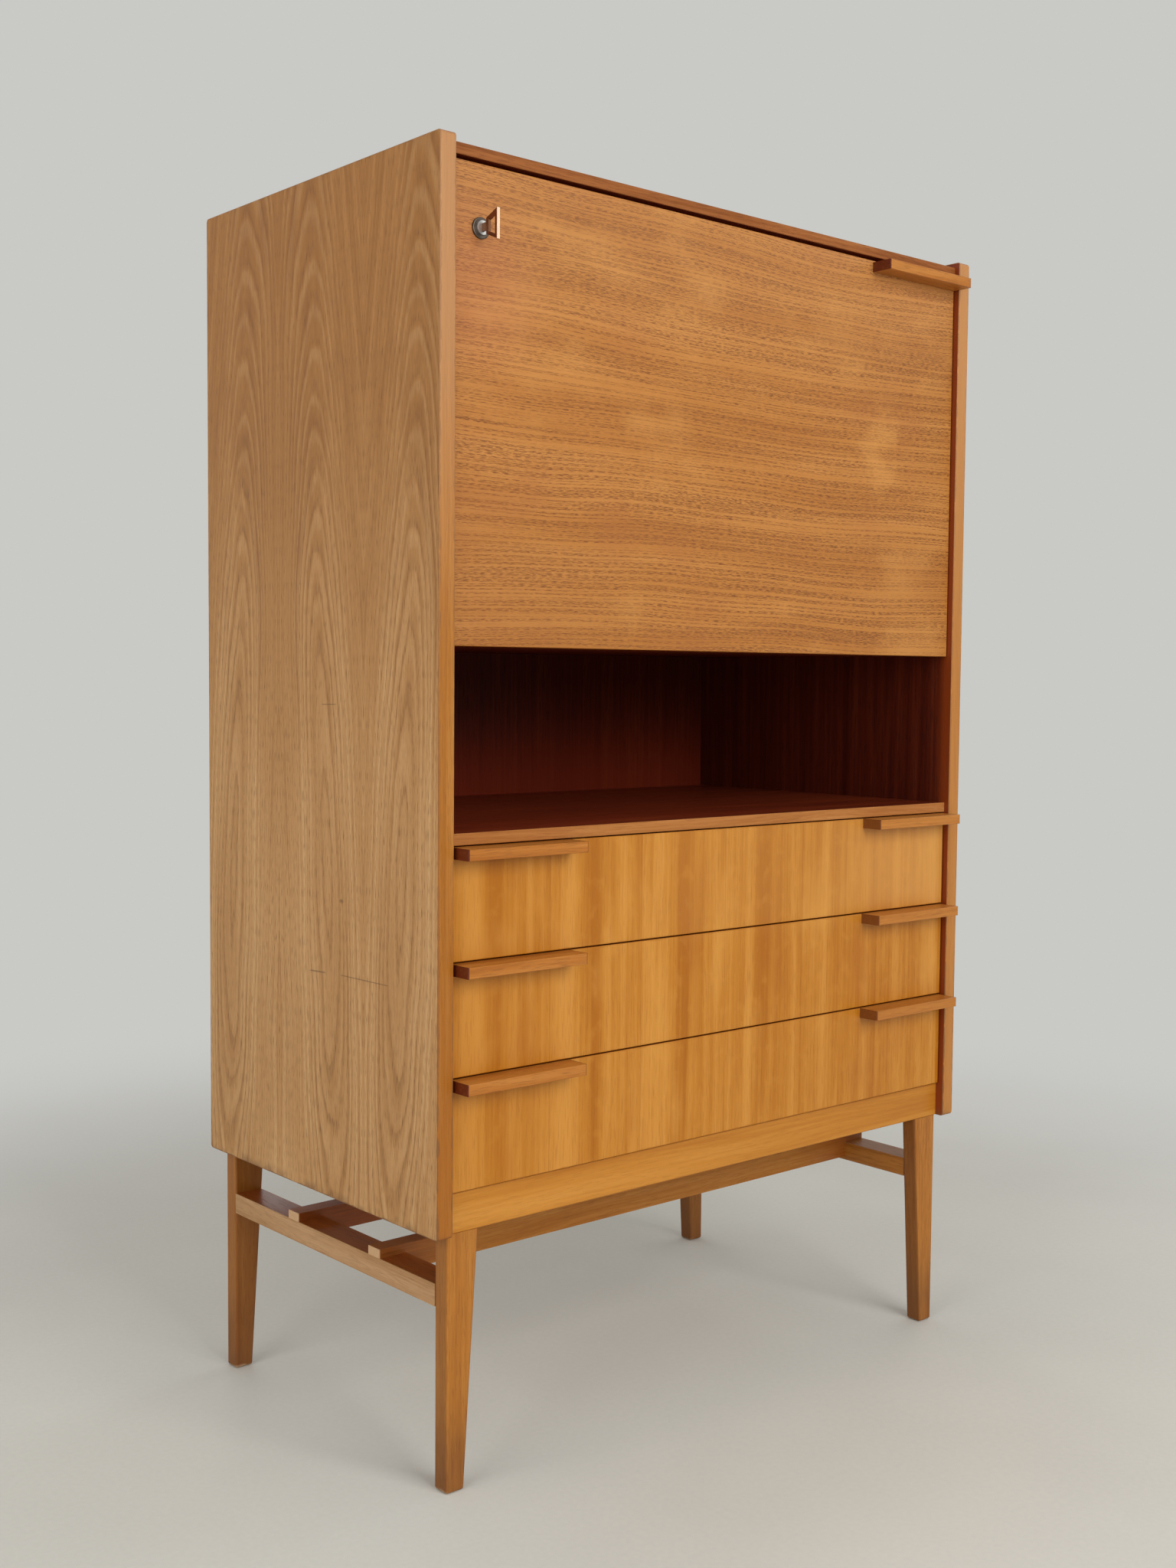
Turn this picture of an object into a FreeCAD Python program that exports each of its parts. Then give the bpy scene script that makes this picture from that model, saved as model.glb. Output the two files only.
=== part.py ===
import FreeCAD, Part
import math
import os
from FreeCAD import Vector

# A fall-front writing cabinet on a slatted leg frame: a locking flap over a desk compartment,
# an open niche below it and three drawers with block handles.
# Millimetres. Origin on the floor under the middle of the bounding box, front towards -Y.

# Case
case_width = 770.0
case_depth = 430.0
case_height = 1270.0
case_underside = 252.0
panel_thickness = 18.0
panel_corner_radius = 4.0
edge_ease = 1.0
housing_depth = 6.0
front_recess = 7.0
back_thickness = 5.0
back_rebate = 9.0

# Fixed boards
top_drop = 5.5
top_thickness = 18.0
top_lip_height = 10.7
top_tongue_drop = 6.0
desk_floor_share = 0.65
desk_floor_thickness = 18.0
niche_shelf_level = 632.5
niche_shelf_thickness = 11.5
bottom_board_thickness = 16.0
bottom_board_drop = 4.0

# Desk compartment fittings
compartment_shelf_share = 0.54
compartment_shelf_thickness = 12.0
compartment_shelf_setback = 150.0
divider_thickness = 10.0
divider_offset = 120.0
divider_housing = 4.0

# Leg frame
apron_height = 39.0
apron_thickness = 20.0
leg_recess = 11.0
leg_inset = 1.5
leg_thickness = 20.0
leg_top_width = 37.0
leg_foot_width = 21.0
leg_edge_radius = 2.5
tenon_thickness = 8.0
tenon_length = 20.0
tenon_shoulder = 6.0
stretcher_level = 200.0
stretcher_height = 22.0
stretcher_width = 32.0
stretcher_tenon_height = 10.0
stretcher_tenon_length = 8.0
cross_rail_thickness = 20.0
cross_rail_height = 27.0
cross_rail_rise = 9.0
cross_rail_front_setback = 124.5
cross_rail_rear_setback = 277.0

# Drawers
drawer_count = 3
front_side_gap = 1.5
front_edge_gap = 1.2
front_between_gap = 1.4
drawer_front_thickness = 16.0
drawer_side_thickness = 14.0
drawer_side_gap = 4.0
drawer_side_height = 84.0
drawer_side_rise = 9.0
drawer_back_thickness = 12.0
drawer_back_gap = 20.0
drawer_front_housing = 6.0
drawer_bottom_thickness = 4.0
drawer_bottom_rise = 8.0
drawer_bottom_groove = 5.0
runner_width = 10.0
runner_height = 14.0
runner_rise = 34.0
runner_clearance = 0.3
runner_front_gap = 4.0

# Block handles
handle_length = 145.0
handle_height = 11.0
handle_projection = 26.0
handle_end_inset = 1.5
handle_ease = 0.8
flap_handle_drop = 2.0
peg_radius = 4.0
peg_length = 10.0
peg_spacing = 96.0

# Flap and its pivot hinges
flap_thickness = 18.0
flap_top_gap = 4.3
flap_stop_gap = 0.5
flap_heel_drop = 0.5
flap_heel_radius = 4.0
heel_clearance = 0.6
pivot_radius = 4.0
pivot_clearance = 0.05
pivot_engagement = 8.0
bush_wall = 2.0
bush_length = 12.0
pivot_plate_thickness = 2.5
pivot_plate_width = 14.0
pivot_plate_height = 44.0
pivot_plate_drop = 8.5

# Flap stays: a rod hinged on the flap slides through a swivel guide on the case
stay_arm_share = 0.43
stay_elevation = 60.0
stay_offset = 16.0
stay_bracket_rise = 12.0
rod_radius = 3.0
rod_bore_clearance = 0.3
rod_eye_radius = 6.0
rod_eye_thickness = 5.0
rod_stop_radius = 5.5
rod_stop_length = 5.0
rod_pin_radius = 2.5
guide_length = 16.0
guide_width = 14.0
guide_pin_radius = 3.0
guide_gap = 0.5
stay_plate_thickness = 2.5
stay_plate_width = 20.0
stay_plate_height = 44.0
stay_boss_radius = 8.0
bracket_ear_thickness = 4.0
bracket_plate_width = 16.0
bracket_plate_thickness = 3.0

# Lock and key
lock_edge_distance = 31.2
lock_top_distance = 58.5
lock_case_width = 50.0
lock_case_height = 52.0
lock_case_depth = 13.0
lock_case_wall = 1.5
lock_case_inset = 0.5
rosette_radius = 10.0
rosette_thickness = 2.0
barrel_radius = 9.0
plug_radius = 6.5
plug_clearance = 0.05
plug_projection = 4.0
plug_tail = 4.0
crank_radius = 1.5
bolt_throw = 8.0
bolt_height = 16.0
bolt_thickness = 5.0
bolt_length = 40.0
bolt_clearance = 0.4
strike_thickness = 2.0
strike_height = 44.0
strike_width = 18.0
mortise_depth = 11.0
key_reach = 27.0
key_bow_start = 10.6
key_bow_near_width = 14.5
key_bow_far_width = 28.0
key_bow_thickness = 3.2
key_bow_bar = 3.2
key_blade_thickness = 2.2
key_blade_height = 7.5
key_blade_depth = 14.0
keyway_clearance = 0.1

# Planes worked out from the values above
front_reach = max(handle_projection, key_reach) - front_recess
panel_front = (front_reach - case_depth) / 2
case_back = panel_front + case_depth
board_back = case_back - back_thickness
case_half = case_width / 2
inner_half = case_half - panel_thickness
board_half = inner_half + housing_depth
front_face = panel_front + front_recess
top_level = case_height - top_drop
top_underside = top_level - top_thickness
desk_floor_level = case_height * desk_floor_share
flap_top = top_level - top_lip_height - flap_top_gap
flap_bottom = desk_floor_level - desk_floor_thickness - flap_heel_drop
flap_inner_face = front_face + flap_thickness
flap_half = inner_half - front_side_gap
pivot_y = front_face + flap_thickness / 2
pivot_z = desk_floor_level - flap_thickness / 2
heel_run = flap_thickness / 2 - flap_heel_radius
heel_fall = pivot_z - flap_bottom - flap_heel_radius
desk_floor_front = pivot_y + math.hypot(heel_run, heel_fall) + flap_heel_radius + heel_clearance
apron_front = panel_front + leg_recess
apron_back = apron_front + apron_thickness
apron_top = case_underside + apron_height
rear_rail_front = board_back - apron_thickness
leg_outer = inner_half - leg_inset
rear_leg_front = case_back - leg_thickness
stretcher_underside = stretcher_level - stretcher_height
drawer_stack_top = niche_shelf_level - niche_shelf_thickness - front_edge_gap
drawer_stack_height = drawer_stack_top - apron_top - front_edge_gap
drawer_front_height = (drawer_stack_height - front_between_gap * (drawer_count - 1)) / drawer_count
drawer_front_back = front_face + drawer_front_thickness
drawer_rear = board_back - drawer_back_gap
drawer_outer = inner_half - drawer_side_gap
compartment_height = top_underside - desk_floor_level
compartment_shelf_top = desk_floor_level + compartment_height * compartment_shelf_share
stay_arm_length = compartment_height * stay_arm_share
rod_x = inner_half - stay_offset
lock_x = lock_edge_distance - flap_half
lock_z = flap_top - lock_top_distance

AXIS_X = Vector(1, 0, 0)
AXIS_Y = Vector(0, 1, 0)
ORIGIN = Vector(0, 0, 0)


def block(x_span, y_span, z_span):
    """Box between two values on each axis."""
    size = [abs(span[1] - span[0]) for span in (x_span, y_span, z_span)]
    corner = Vector(min(x_span), min(y_span), min(z_span))
    return Part.makeBox(size[0], size[1], size[2], corner)


def around(centre, size):
    """Span of a given size about a centre."""
    return (centre - size / 2, centre + size / 2)


def prism(points, direction):
    """Straight extrusion of a closed outline."""
    outline = Part.makePolygon([Vector(*point) for point in points + points[:1]])
    return Part.Face(outline).extrude(direction)


def rod_along(axis, radius, start, length):
    """Round bar from a start point along an axis."""
    return Part.makeCylinder(radius, length, start, axis)


def mirrored(shape):
    """Copy on the other side of the case."""
    return shape.mirror(ORIGIN, AXIS_X)


def edges_where(shape, test):
    """Edges whose two end points both meet a test."""
    chosen = []
    for edge in shape.Edges:
        ends = [vertex.Point for vertex in edge.Vertexes]
        if len(ends) == 2 and all(test(end) for end in ends):
            chosen.append(edge)
    return chosen


def eased_front(shape, radius):
    """Round every edge of the face that looks forward."""
    front = shape.BoundBox.YMin
    return shape.makeFillet(radius, edges_where(shape, lambda point: abs(point.y - front) < 1e-6))


def eased_lip(shape, radius):
    """Round the long level edges of the face that looks forward."""
    front = shape.BoundBox.YMin
    ahead = edges_where(shape, lambda point: abs(point.y - front) < 1e-6)
    return shape.makeFillet(radius, [edge for edge in ahead if edge.BoundBox.XLength > inner_half])


def panel_blank():
    """Left side panel with rounded corners and eased outline, before any joint is cut."""
    blank = block((-case_half, -inner_half), (panel_front, case_back), (case_underside, case_height))
    corners = [edge for edge in blank.Edges if abs(edge.tangentAt(edge.FirstParameter).x) > 0.9]
    blank = blank.makeFillet(panel_corner_radius, corners)
    outer = edges_where(blank, lambda point: abs(point.x + case_half) < 1e-6)
    inner_front = [edge for edge in blank.Edges
                   if all(abs(v.Point.x + inner_half) < 1e-6 and abs(v.Point.y - panel_front) < 1e-6
                          for v in edge.Vertexes)]
    return blank.makeFillet(edge_ease, outer + inner_front)


def fixed_boards():
    """Horizontal boards and the back, each running into the side panels."""
    top = block((-inner_half, inner_half), (front_face, board_back), (top_underside, top_level))
    tongue = block((-board_half, board_half), (front_face, board_back),
                   (top_underside, top_level - top_tongue_drop))
    top = top.fuse(tongue).removeSplitter()
    rebate = block((-board_half, board_half), (front_face, flap_inner_face + flap_stop_gap),
                   (top_underside, top_level - top_lip_height))
    floor_span = (desk_floor_level - desk_floor_thickness, desk_floor_level)
    niche_span = (niche_shelf_level - niche_shelf_thickness, niche_shelf_level)
    niche_shelf = block((-board_half, board_half), (front_face, board_back), niche_span)
    bottom_top = apron_top - bottom_board_drop
    back_half = inner_half + back_rebate
    return {
        "top_board": eased_lip(top.cut(rebate), edge_ease),
        "desk_floor": block((-board_half, board_half), (desk_floor_front, board_back), floor_span),
        "niche_shelf": eased_lip(niche_shelf, edge_ease),
        "bottom_board": block((-board_half, board_half), (apron_back, rear_rail_front),
                              (bottom_top - bottom_board_thickness, bottom_top)),
        "back_panel": block((-back_half, back_half), (board_back, case_back), (case_underside, top_level)),
    }


def compartment_fittings():
    """Pigeonhole shelf behind the flap, housed in the panels, with two upright dividers."""
    shelf_front = panel_front + compartment_shelf_setback
    underside = compartment_shelf_top - compartment_shelf_thickness
    shelf = block((-board_half, board_half), (shelf_front, board_back), (underside, compartment_shelf_top))
    divider = block(around(-divider_offset, divider_thickness),
                    (shelf_front + divider_thickness, board_back),
                    (compartment_shelf_top - divider_housing, top_underside))
    dividers = {"left_divider": divider, "right_divider": mirrored(divider)}
    return {"compartment_shelf": shelf.cut(Part.makeCompound(list(dividers.values()))), **dividers}


def leg(front):
    """Left leg: straight outer edge, tapered inner edge and rounded foot."""
    outer = -leg_outer
    outline = [(outer, front, 0), (outer + leg_foot_width, front, 0),
               (outer + leg_top_width, front, case_underside), (outer, front, case_underside)]
    post = prism(outline, Vector(0, leg_thickness, 0))
    below_top = edges_where(post, lambda point: point.z < case_underside - 1e-6)
    uprights = [edge for edge in post.Edges
                if abs(edge.Vertexes[0].Point.z - edge.Vertexes[1].Point.z) > leg_edge_radius]
    return post.makeFillet(leg_edge_radius, below_top + uprights)


def leg_tenon(rail_centre):
    """Stub tenon of a left leg, in the middle of the rail above it."""
    x_span = (-leg_outer + tenon_shoulder, -leg_outer + leg_top_width - tenon_shoulder)
    z_span = (case_underside, case_underside + tenon_length)
    return block(x_span, around(rail_centre, tenon_thickness), z_span)


def stretcher():
    """Left stretcher between the legs, with a tenon at each end."""
    y_span = (apron_front + leg_thickness, rear_leg_front)
    x_span = (-leg_outer, -leg_outer + stretcher_width)
    body = block(x_span, y_span, (stretcher_underside, stretcher_level))
    tenon = block((x_span[0] + tenon_shoulder, x_span[1] - tenon_shoulder),
                  (y_span[0] - stretcher_tenon_length, y_span[1] + stretcher_tenon_length),
                  around(stretcher_level - stretcher_height / 2, stretcher_tenon_height))
    return body.fuse(tenon).removeSplitter()


def cross_rail(setback):
    """Rail across the frame, notched over both stretchers and flush with their outer faces."""
    y_span = (panel_front + setback, panel_front + setback + cross_rail_thickness)
    top = stretcher_level + cross_rail_rise
    rail = block((-leg_outer, leg_outer), y_span, (top - cross_rail_height, top))
    notch = block((-leg_outer, -leg_outer + stretcher_width), y_span,
                  (top - cross_rail_height, stretcher_level))
    return rail.cut(notch).cut(mirrored(notch))


def leg_frame():
    """Apron, rear rail, legs, stretchers and cross rails."""
    rail_span = (case_underside, apron_top)
    apron = block((-inner_half, inner_half), (apron_front, apron_back), rail_span)
    apron = eased_lip(apron, edge_ease)
    rear_rail = block((-inner_half, inner_half), (rear_rail_front, board_back), rail_span)
    left_stretcher = stretcher()
    front_leg = leg(apron_front).cut(left_stretcher).fuse(leg_tenon((apron_front + apron_back) / 2))
    rear_leg = leg(rear_leg_front).cut(left_stretcher).fuse(leg_tenon((rear_rail_front + board_back) / 2))
    parts = {"front_left_leg": front_leg, "rear_left_leg": rear_leg, "left_stretcher": left_stretcher}
    parts.update({name.replace("left", "right"): mirrored(shape) for name, shape in parts.items()})
    parts["front_apron"] = apron.cut(parts["front_left_leg"]).cut(parts["front_right_leg"])
    parts["rear_rail"] = rear_rail.cut(parts["rear_left_leg"]).cut(parts["rear_right_leg"])
    parts["front_cross_rail"] = cross_rail(cross_rail_front_setback)
    parts["rear_cross_rail"] = cross_rail(cross_rail_rear_setback)
    return parts


def drawer_base(index):
    """Lower edge of a drawer front, counted from the top."""
    return drawer_stack_top - (index + 1) * drawer_front_height - index * front_between_gap


def runners():
    """Left runner strips, one for each drawer, glued to the side panel."""
    y_span = (drawer_front_back + runner_front_gap, drawer_rear)
    strips = []
    for index in range(drawer_count):
        low = drawer_base(index) + runner_rise
        strips.append(block((-inner_half, -inner_half + runner_width), y_span, (low, low + runner_height)))
    return Part.makeCompound(strips)


def block_handle(left_end, face, top):
    """Bar handle with eased edges and two pegs into the board behind it."""
    right_end = left_end + handle_length
    bar = block((left_end, right_end), (face - handle_projection, face), (top - handle_height, top))
    bar = eased_front(bar, handle_ease)
    middle = (left_end + right_end) / 2
    for offset in around(0, peg_spacing):
        start = Vector(middle + offset, face, top - handle_height / 2)
        bar = bar.fuse(rod_along(AXIS_Y, peg_radius, start, peg_length))
    return bar


def drawer(index):
    """One drawer: front, grooved sides, back, bottom and its pair of handles."""
    low = drawer_base(index)
    top = low + drawer_front_height
    side_low = low + drawer_side_rise
    side_span = (side_low, side_low + drawer_side_height)
    side_inner = drawer_outer - drawer_side_thickness
    groove_low = low + runner_rise - runner_clearance
    groove_depth = runner_width - drawer_side_gap + runner_clearance
    bottom_low = side_low + drawer_bottom_rise
    bottom_half = side_inner + drawer_bottom_groove
    bottom = block((-bottom_half, bottom_half), (drawer_front_back - drawer_bottom_groove, drawer_rear),
                   (bottom_low, bottom_low + drawer_bottom_thickness))
    side = block((-drawer_outer, -side_inner), (drawer_front_back - drawer_front_housing, drawer_rear),
                 side_span)
    groove = block((-drawer_outer, -drawer_outer + groove_depth), (drawer_front_back, drawer_rear),
                   (groove_low, groove_low + runner_height + 2 * runner_clearance))
    side = side.cut(groove).cut(bottom)
    back = block((-side_inner, side_inner), (drawer_rear - drawer_back_thickness, drawer_rear),
                 (bottom_low + drawer_bottom_thickness, side_span[1]))
    left_handle = block_handle(-flap_half + handle_end_inset, front_face, top)
    handles = Part.makeCompound([left_handle, mirrored(left_handle)])
    front = block((-flap_half, flap_half), (front_face, drawer_front_back), (low, top))
    front = eased_front(front, edge_ease)
    for inserted in (side, mirrored(side), bottom, handles):
        front = front.cut(inserted)
    name = "drawer_%d" % (index + 1)
    return {
        name + "_front": front,
        name + "_left_side": side,
        name + "_right_side": mirrored(side),
        name + "_back": back,
        name + "_bottom": bottom,
        name + "_handles": handles,
    }


def pivot_hinges():
    """Pins on plates let into the side panels, and the bushes in the flap's edges."""
    plate_low = pivot_z - pivot_plate_drop
    plate = block((-inner_half - pivot_plate_thickness, -inner_half), around(pivot_y, pivot_plate_width),
                  (plate_low, plate_low + pivot_plate_height))
    pin_start = Vector(-inner_half, pivot_y, pivot_z)
    pin = rod_along(AXIS_X, pivot_radius, pin_start, front_side_gap + pivot_engagement)
    bush_start = Vector(-flap_half, pivot_y, pivot_z)
    bush = rod_along(AXIS_X, pivot_radius + bush_wall, bush_start, bush_length)
    bush = bush.cut(rod_along(AXIS_X, pivot_radius + pivot_clearance, bush_start, bush_length - bush_wall))
    return plate.fuse(pin), bush


def stay_angles():
    """Rod slope with the flap shut, and the rod's length from its eye to the guide with the flap open."""
    eye_y = flap_inner_face + stay_bracket_rise - pivot_y
    eye_angle = math.acos(eye_y / stay_arm_length)
    guide_angle = math.radians(stay_elevation)
    slope = (eye_angle + guide_angle) / 2 - math.pi / 2
    open_chord = 2 * stay_arm_length * math.sin((eye_angle + math.pi / 2 - guide_angle) / 2)
    return eye_angle, guide_angle, slope, open_chord


def on_stay_circle(angle):
    """Point of the left stay's plane at the stay's reach from the flap's pivot."""
    run = stay_arm_length * math.cos(angle)
    rise = stay_arm_length * math.sin(angle)
    return Vector(-rod_x, pivot_y + run, pivot_z + rise)


def stay_rod(eye, slope, open_chord):
    """Rod with a pivot eye at the flap end and a stop head at the other."""
    head_start = open_chord + guide_length / 2 + rod_bore_clearance
    rod = rod_along(AXIS_Y, rod_radius, eye, head_start + rod_stop_length)
    head = rod_along(AXIS_Y, rod_stop_radius, eye + AXIS_Y * head_start, rod_stop_length)
    half_eye = AXIS_X * (rod_eye_thickness / 2)
    ring = rod_along(AXIS_X, rod_eye_radius, eye - half_eye, rod_eye_thickness)
    hole_radius = rod_pin_radius + pivot_clearance
    reach = AXIS_X * rod_eye_thickness
    hole = rod_along(AXIS_X, hole_radius, eye - reach, 2 * rod_eye_thickness)
    shape = rod.fuse([head, ring]).removeSplitter().cut(hole)
    shape.rotate(eye, AXIS_X, math.degrees(slope))
    return shape


def stay_guide(centre, slope):
    """Swivel block with the rod's bore and a pivot pin towards the side panel."""
    body = block(around(centre.x, guide_width), around(centre.y, guide_length),
                 around(centre.z, guide_width))
    bore_start = centre - AXIS_Y * guide_length
    body = body.cut(rod_along(AXIS_Y, rod_radius + rod_bore_clearance, bore_start, 2 * guide_length))
    pin_length = stay_offset - guide_width / 2 - guide_gap
    pin_start = Vector(-inner_half + guide_gap, centre.y, centre.z)
    body = body.fuse(rod_along(AXIS_X, guide_pin_radius, pin_start, pin_length))
    body.rotate(centre, AXIS_X, math.degrees(slope))
    return body


def stay_base(centre):
    """Plate on the side panel with a boss that carries the guide's pin."""
    plate = block((-inner_half, -inner_half + stay_plate_thickness), around(centre.y, stay_plate_width),
                  around(centre.z, stay_plate_height))
    seat = Vector(-inner_half, centre.y, centre.z)
    boss_height = stay_offset - guide_width / 2 - guide_gap
    base = plate.fuse(rod_along(AXIS_X, stay_boss_radius, seat, boss_height)).removeSplitter()
    return base.cut(rod_along(AXIS_X, guide_pin_radius + pivot_clearance, seat, boss_height))


def stay_bracket(eye):
    """Plate on the flap's inner face with an ear and the pin through the rod's eye."""
    plate = block(around(eye.x, bracket_plate_width),
                  (flap_inner_face, flap_inner_face + bracket_plate_thickness),
                  around(eye.z, stay_plate_height))
    ear_face = eye.x - rod_eye_thickness / 2 - guide_gap
    ear_span = (ear_face - bracket_ear_thickness, ear_face)
    ear = block(ear_span, (flap_inner_face, eye.y), around(eye.z, 2 * rod_eye_radius))
    tip_start = Vector(ear_span[0], eye.y, eye.z)
    tip = rod_along(AXIS_X, rod_eye_radius, tip_start, bracket_ear_thickness)
    pin_length = bracket_ear_thickness + 2 * guide_gap + rod_eye_thickness
    pin = rod_along(AXIS_X, rod_pin_radius, tip_start, pin_length)
    relief_start = Vector(ear_face, eye.y, eye.z)
    relief = rod_along(AXIS_X, rod_eye_radius + guide_gap, relief_start, rod_eye_thickness + 2 * guide_gap)
    return plate.cut(relief).fuse([ear, tip, pin]).removeSplitter()


def flap_stays():
    """Left and right stays with their case plates and flap brackets."""
    eye_angle, guide_angle, slope, open_chord = stay_angles()
    eye = on_stay_circle(eye_angle)
    centre = on_stay_circle(guide_angle)
    parts = {
        "left_stay_rod": stay_rod(eye, slope, open_chord),
        "left_stay_guide": stay_guide(centre, slope),
        "left_stay_base": stay_base(centre),
        "left_stay_bracket": stay_bracket(eye),
    }
    parts.update({name.replace("left", "right"): mirrored(shape) for name, shape in parts.items()})
    return parts


def lock_parts():
    """Lock case, rosette, barrel, plug, bolt and strike plate, with the bolt drawn back."""
    case_left = -flap_half + lock_case_inset
    case_x = (case_left, case_left + lock_case_width)
    case_y = (flap_inner_face, flap_inner_face + lock_case_depth)
    case_z = around(lock_z, lock_case_height)
    hollow = block((case_x[0] + lock_case_wall, case_x[1] - lock_case_wall),
                   (case_y[0] + lock_case_wall, case_y[1] - lock_case_wall),
                   (case_z[0] + lock_case_wall, case_z[1] - lock_case_wall))
    tail_end = case_y[0] + plug_tail
    bolt_y = (tail_end + bolt_clearance, tail_end + bolt_clearance + bolt_thickness)
    crank_arm = bolt_throw / 2
    bolt_z = around(lock_z + crank_arm, bolt_height)
    bolt_span = (case_left, case_left + bolt_length)
    bolt = block(bolt_span, bolt_y, bolt_z)
    slot_half = crank_radius + bolt_clearance
    slot_top = lock_z + crank_arm * math.sqrt(2) + slot_half
    bolt = bolt.cut(block(around(lock_x + crank_arm, 2 * slot_half), bolt_y,
                          (lock_z + crank_arm - slot_half, slot_top)))
    grown_y = (bolt_y[0] - bolt_clearance, bolt_y[1] + bolt_clearance)
    grown_z = (bolt_z[0] - bolt_clearance, bolt_z[1] + bolt_clearance)
    bolt_window = block((case_left, case_left + lock_case_wall), grown_y, grown_z)
    axis_start = Vector(lock_x, front_face - plug_projection, lock_z)
    plug_length = tail_end - axis_start.y
    plug_way = rod_along(AXIS_Y, plug_radius + plug_clearance, axis_start, plug_length)
    plug = rod_along(AXIS_Y, plug_radius, axis_start, plug_length)
    crank_start = Vector(lock_x + crank_arm, tail_end, lock_z + crank_arm)
    plug = plug.fuse(rod_along(AXIS_Y, crank_radius, crank_start, bolt_clearance + bolt_thickness))
    rosette_start = Vector(lock_x, front_face - rosette_thickness, lock_z)
    rosette = rod_along(AXIS_Y, rosette_radius, rosette_start, rosette_thickness)
    rosette = rosette.makeFillet(edge_ease, edges_where_round(rosette, rosette_start.y))
    barrel = rod_along(AXIS_Y, barrel_radius, Vector(lock_x, front_face, lock_z), flap_thickness)
    strike = block((-inner_half - strike_thickness, -inner_half), around(sum(bolt_y) / 2, strike_width),
                   around(sum(bolt_z) / 2, strike_height))
    mortise = block((-inner_half - mortise_depth, -inner_half), grown_y, grown_z)
    parts = {
        "lock_case": block(case_x, case_y, case_z).cut(hollow).cut(bolt_window).cut(plug_way),
        "lock_rosette": rosette.cut(plug_way),
        "lock_barrel": barrel.cut(plug_way),
        "lock_bolt": bolt,
        "strike_plate": strike.cut(mortise),
    }
    return parts, plug, mortise


def edges_where_round(shape, front):
    """Closed round edges in the plane at one depth."""
    return [edge for edge in shape.Edges if edge.isClosed() and abs(edge.CenterOfMass.y - front) < 1e-6]


def key():
    """Flat key: an open trapezoid bow, a neck and a blade in the plug."""
    bow_start = front_face - key_bow_start
    bow_end = front_face - key_reach
    near = key_bow_near_width / 2
    far = key_bow_far_width / 2
    slant = (far - near) / (key_reach - key_bow_start) * key_bow_bar
    left = lock_x - key_bow_thickness / 2
    bow = prism([(left, bow_start, lock_z - near), (left, bow_end, lock_z - far),
                 (left, bow_end, lock_z + far), (left, bow_start, lock_z + near)],
                Vector(key_bow_thickness, 0, 0))
    eye_near = near - key_bow_bar + slant
    eye_far = far - key_bow_bar - slant
    eye_start = bow_start - key_bow_bar
    eye_end = bow_end + key_bow_bar
    eye = prism([(left, eye_start, lock_z - eye_near), (left, eye_end, lock_z - eye_far),
                 (left, eye_end, lock_z + eye_far), (left, eye_start, lock_z + eye_near)],
                Vector(key_bow_thickness, 0, 0))
    blade_end = front_face - plug_projection + key_blade_depth
    blade = block(around(lock_x, key_blade_thickness), (bow_start, blade_end),
                  around(lock_z, key_blade_height))
    keyway = block(around(lock_x, key_blade_thickness + 2 * keyway_clearance), (bow_start, blade_end),
                   around(lock_z, key_blade_height + 2 * keyway_clearance))
    return bow.cut(eye).fuse(blade).removeSplitter(), keyway


def flap_board(inserts):
    """Flap with a rounded heel, bored and cut for what is let into it."""
    board = block((-flap_half, flap_half), (front_face, flap_inner_face), (flap_bottom, flap_top))
    heel = edges_where(board, lambda point: point.y > pivot_y and point.z < pivot_z)
    board = eased_front(board.makeFillet(flap_heel_radius, heel), edge_ease)
    for inserted in inserts:
        board = board.cut(inserted)
    return board


def build():
    """All nodes of the cabinet by name."""
    nodes = {}
    nodes.update(fixed_boards())
    nodes.update(compartment_fittings())
    nodes.update(leg_frame())
    nodes.update(flap_stays())
    plate, bush = pivot_hinges()
    nodes["hinge_plates"] = Part.makeCompound([plate, mirrored(plate)])
    nodes["hinge_bushes"] = Part.makeCompound([bush, mirrored(bush)])
    lock, plug, mortise = lock_parts()
    nodes.update(lock)
    nodes["key"], keyway = key()
    nodes["lock_plug"] = plug.cut(keyway)

    housed = ["top_board", "desk_floor", "niche_shelf", "bottom_board", "back_panel", "compartment_shelf"]
    blank = panel_blank()
    for name in housed:
        blank = blank.cut(nodes[name])
    blank = blank.cut(plate)
    nodes["right_side_panel"] = mirrored(blank)
    nodes["left_side_panel"] = blank.cut(nodes["strike_plate"]).cut(mortise)

    handle_start = flap_half - handle_end_inset - handle_length
    nodes["flap_handle"] = block_handle(handle_start, front_face, flap_top - flap_handle_drop)
    barrel_hole = rod_along(AXIS_Y, barrel_radius, Vector(lock_x, front_face, lock_z), flap_thickness)
    bush_start = Vector(-flap_half, pivot_y, pivot_z)
    bush_hole = rod_along(AXIS_X, pivot_radius + bush_wall, bush_start, bush_length)
    nodes["flap_board"] = flap_board([nodes["flap_handle"], barrel_hole, bush_hole, mirrored(bush_hole)])

    left_runners = runners()
    nodes["left_runners"] = left_runners
    nodes["right_runners"] = mirrored(left_runners)
    for index in range(drawer_count):
        nodes.update(drawer(index))
    return nodes


def main():
    os.makedirs("parts", exist_ok=True)
    for name, shape in build().items():
        shape.exportStep("parts/%s.step" % name)
        print(name, len(shape.Solids), "solid(s)", round(shape.Volume / 1000.0, 2), "cm3", shape.isValid())


main()
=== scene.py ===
"""Dresses the fall-front writing cabinet: veneers, solid timber, fittings, screws, pins and studio."""

import logging
import math
from collections.abc import Callable, Sequence
from dataclasses import dataclass
from enum import Enum

import bpy
from mathutils import Matrix, Vector

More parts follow.
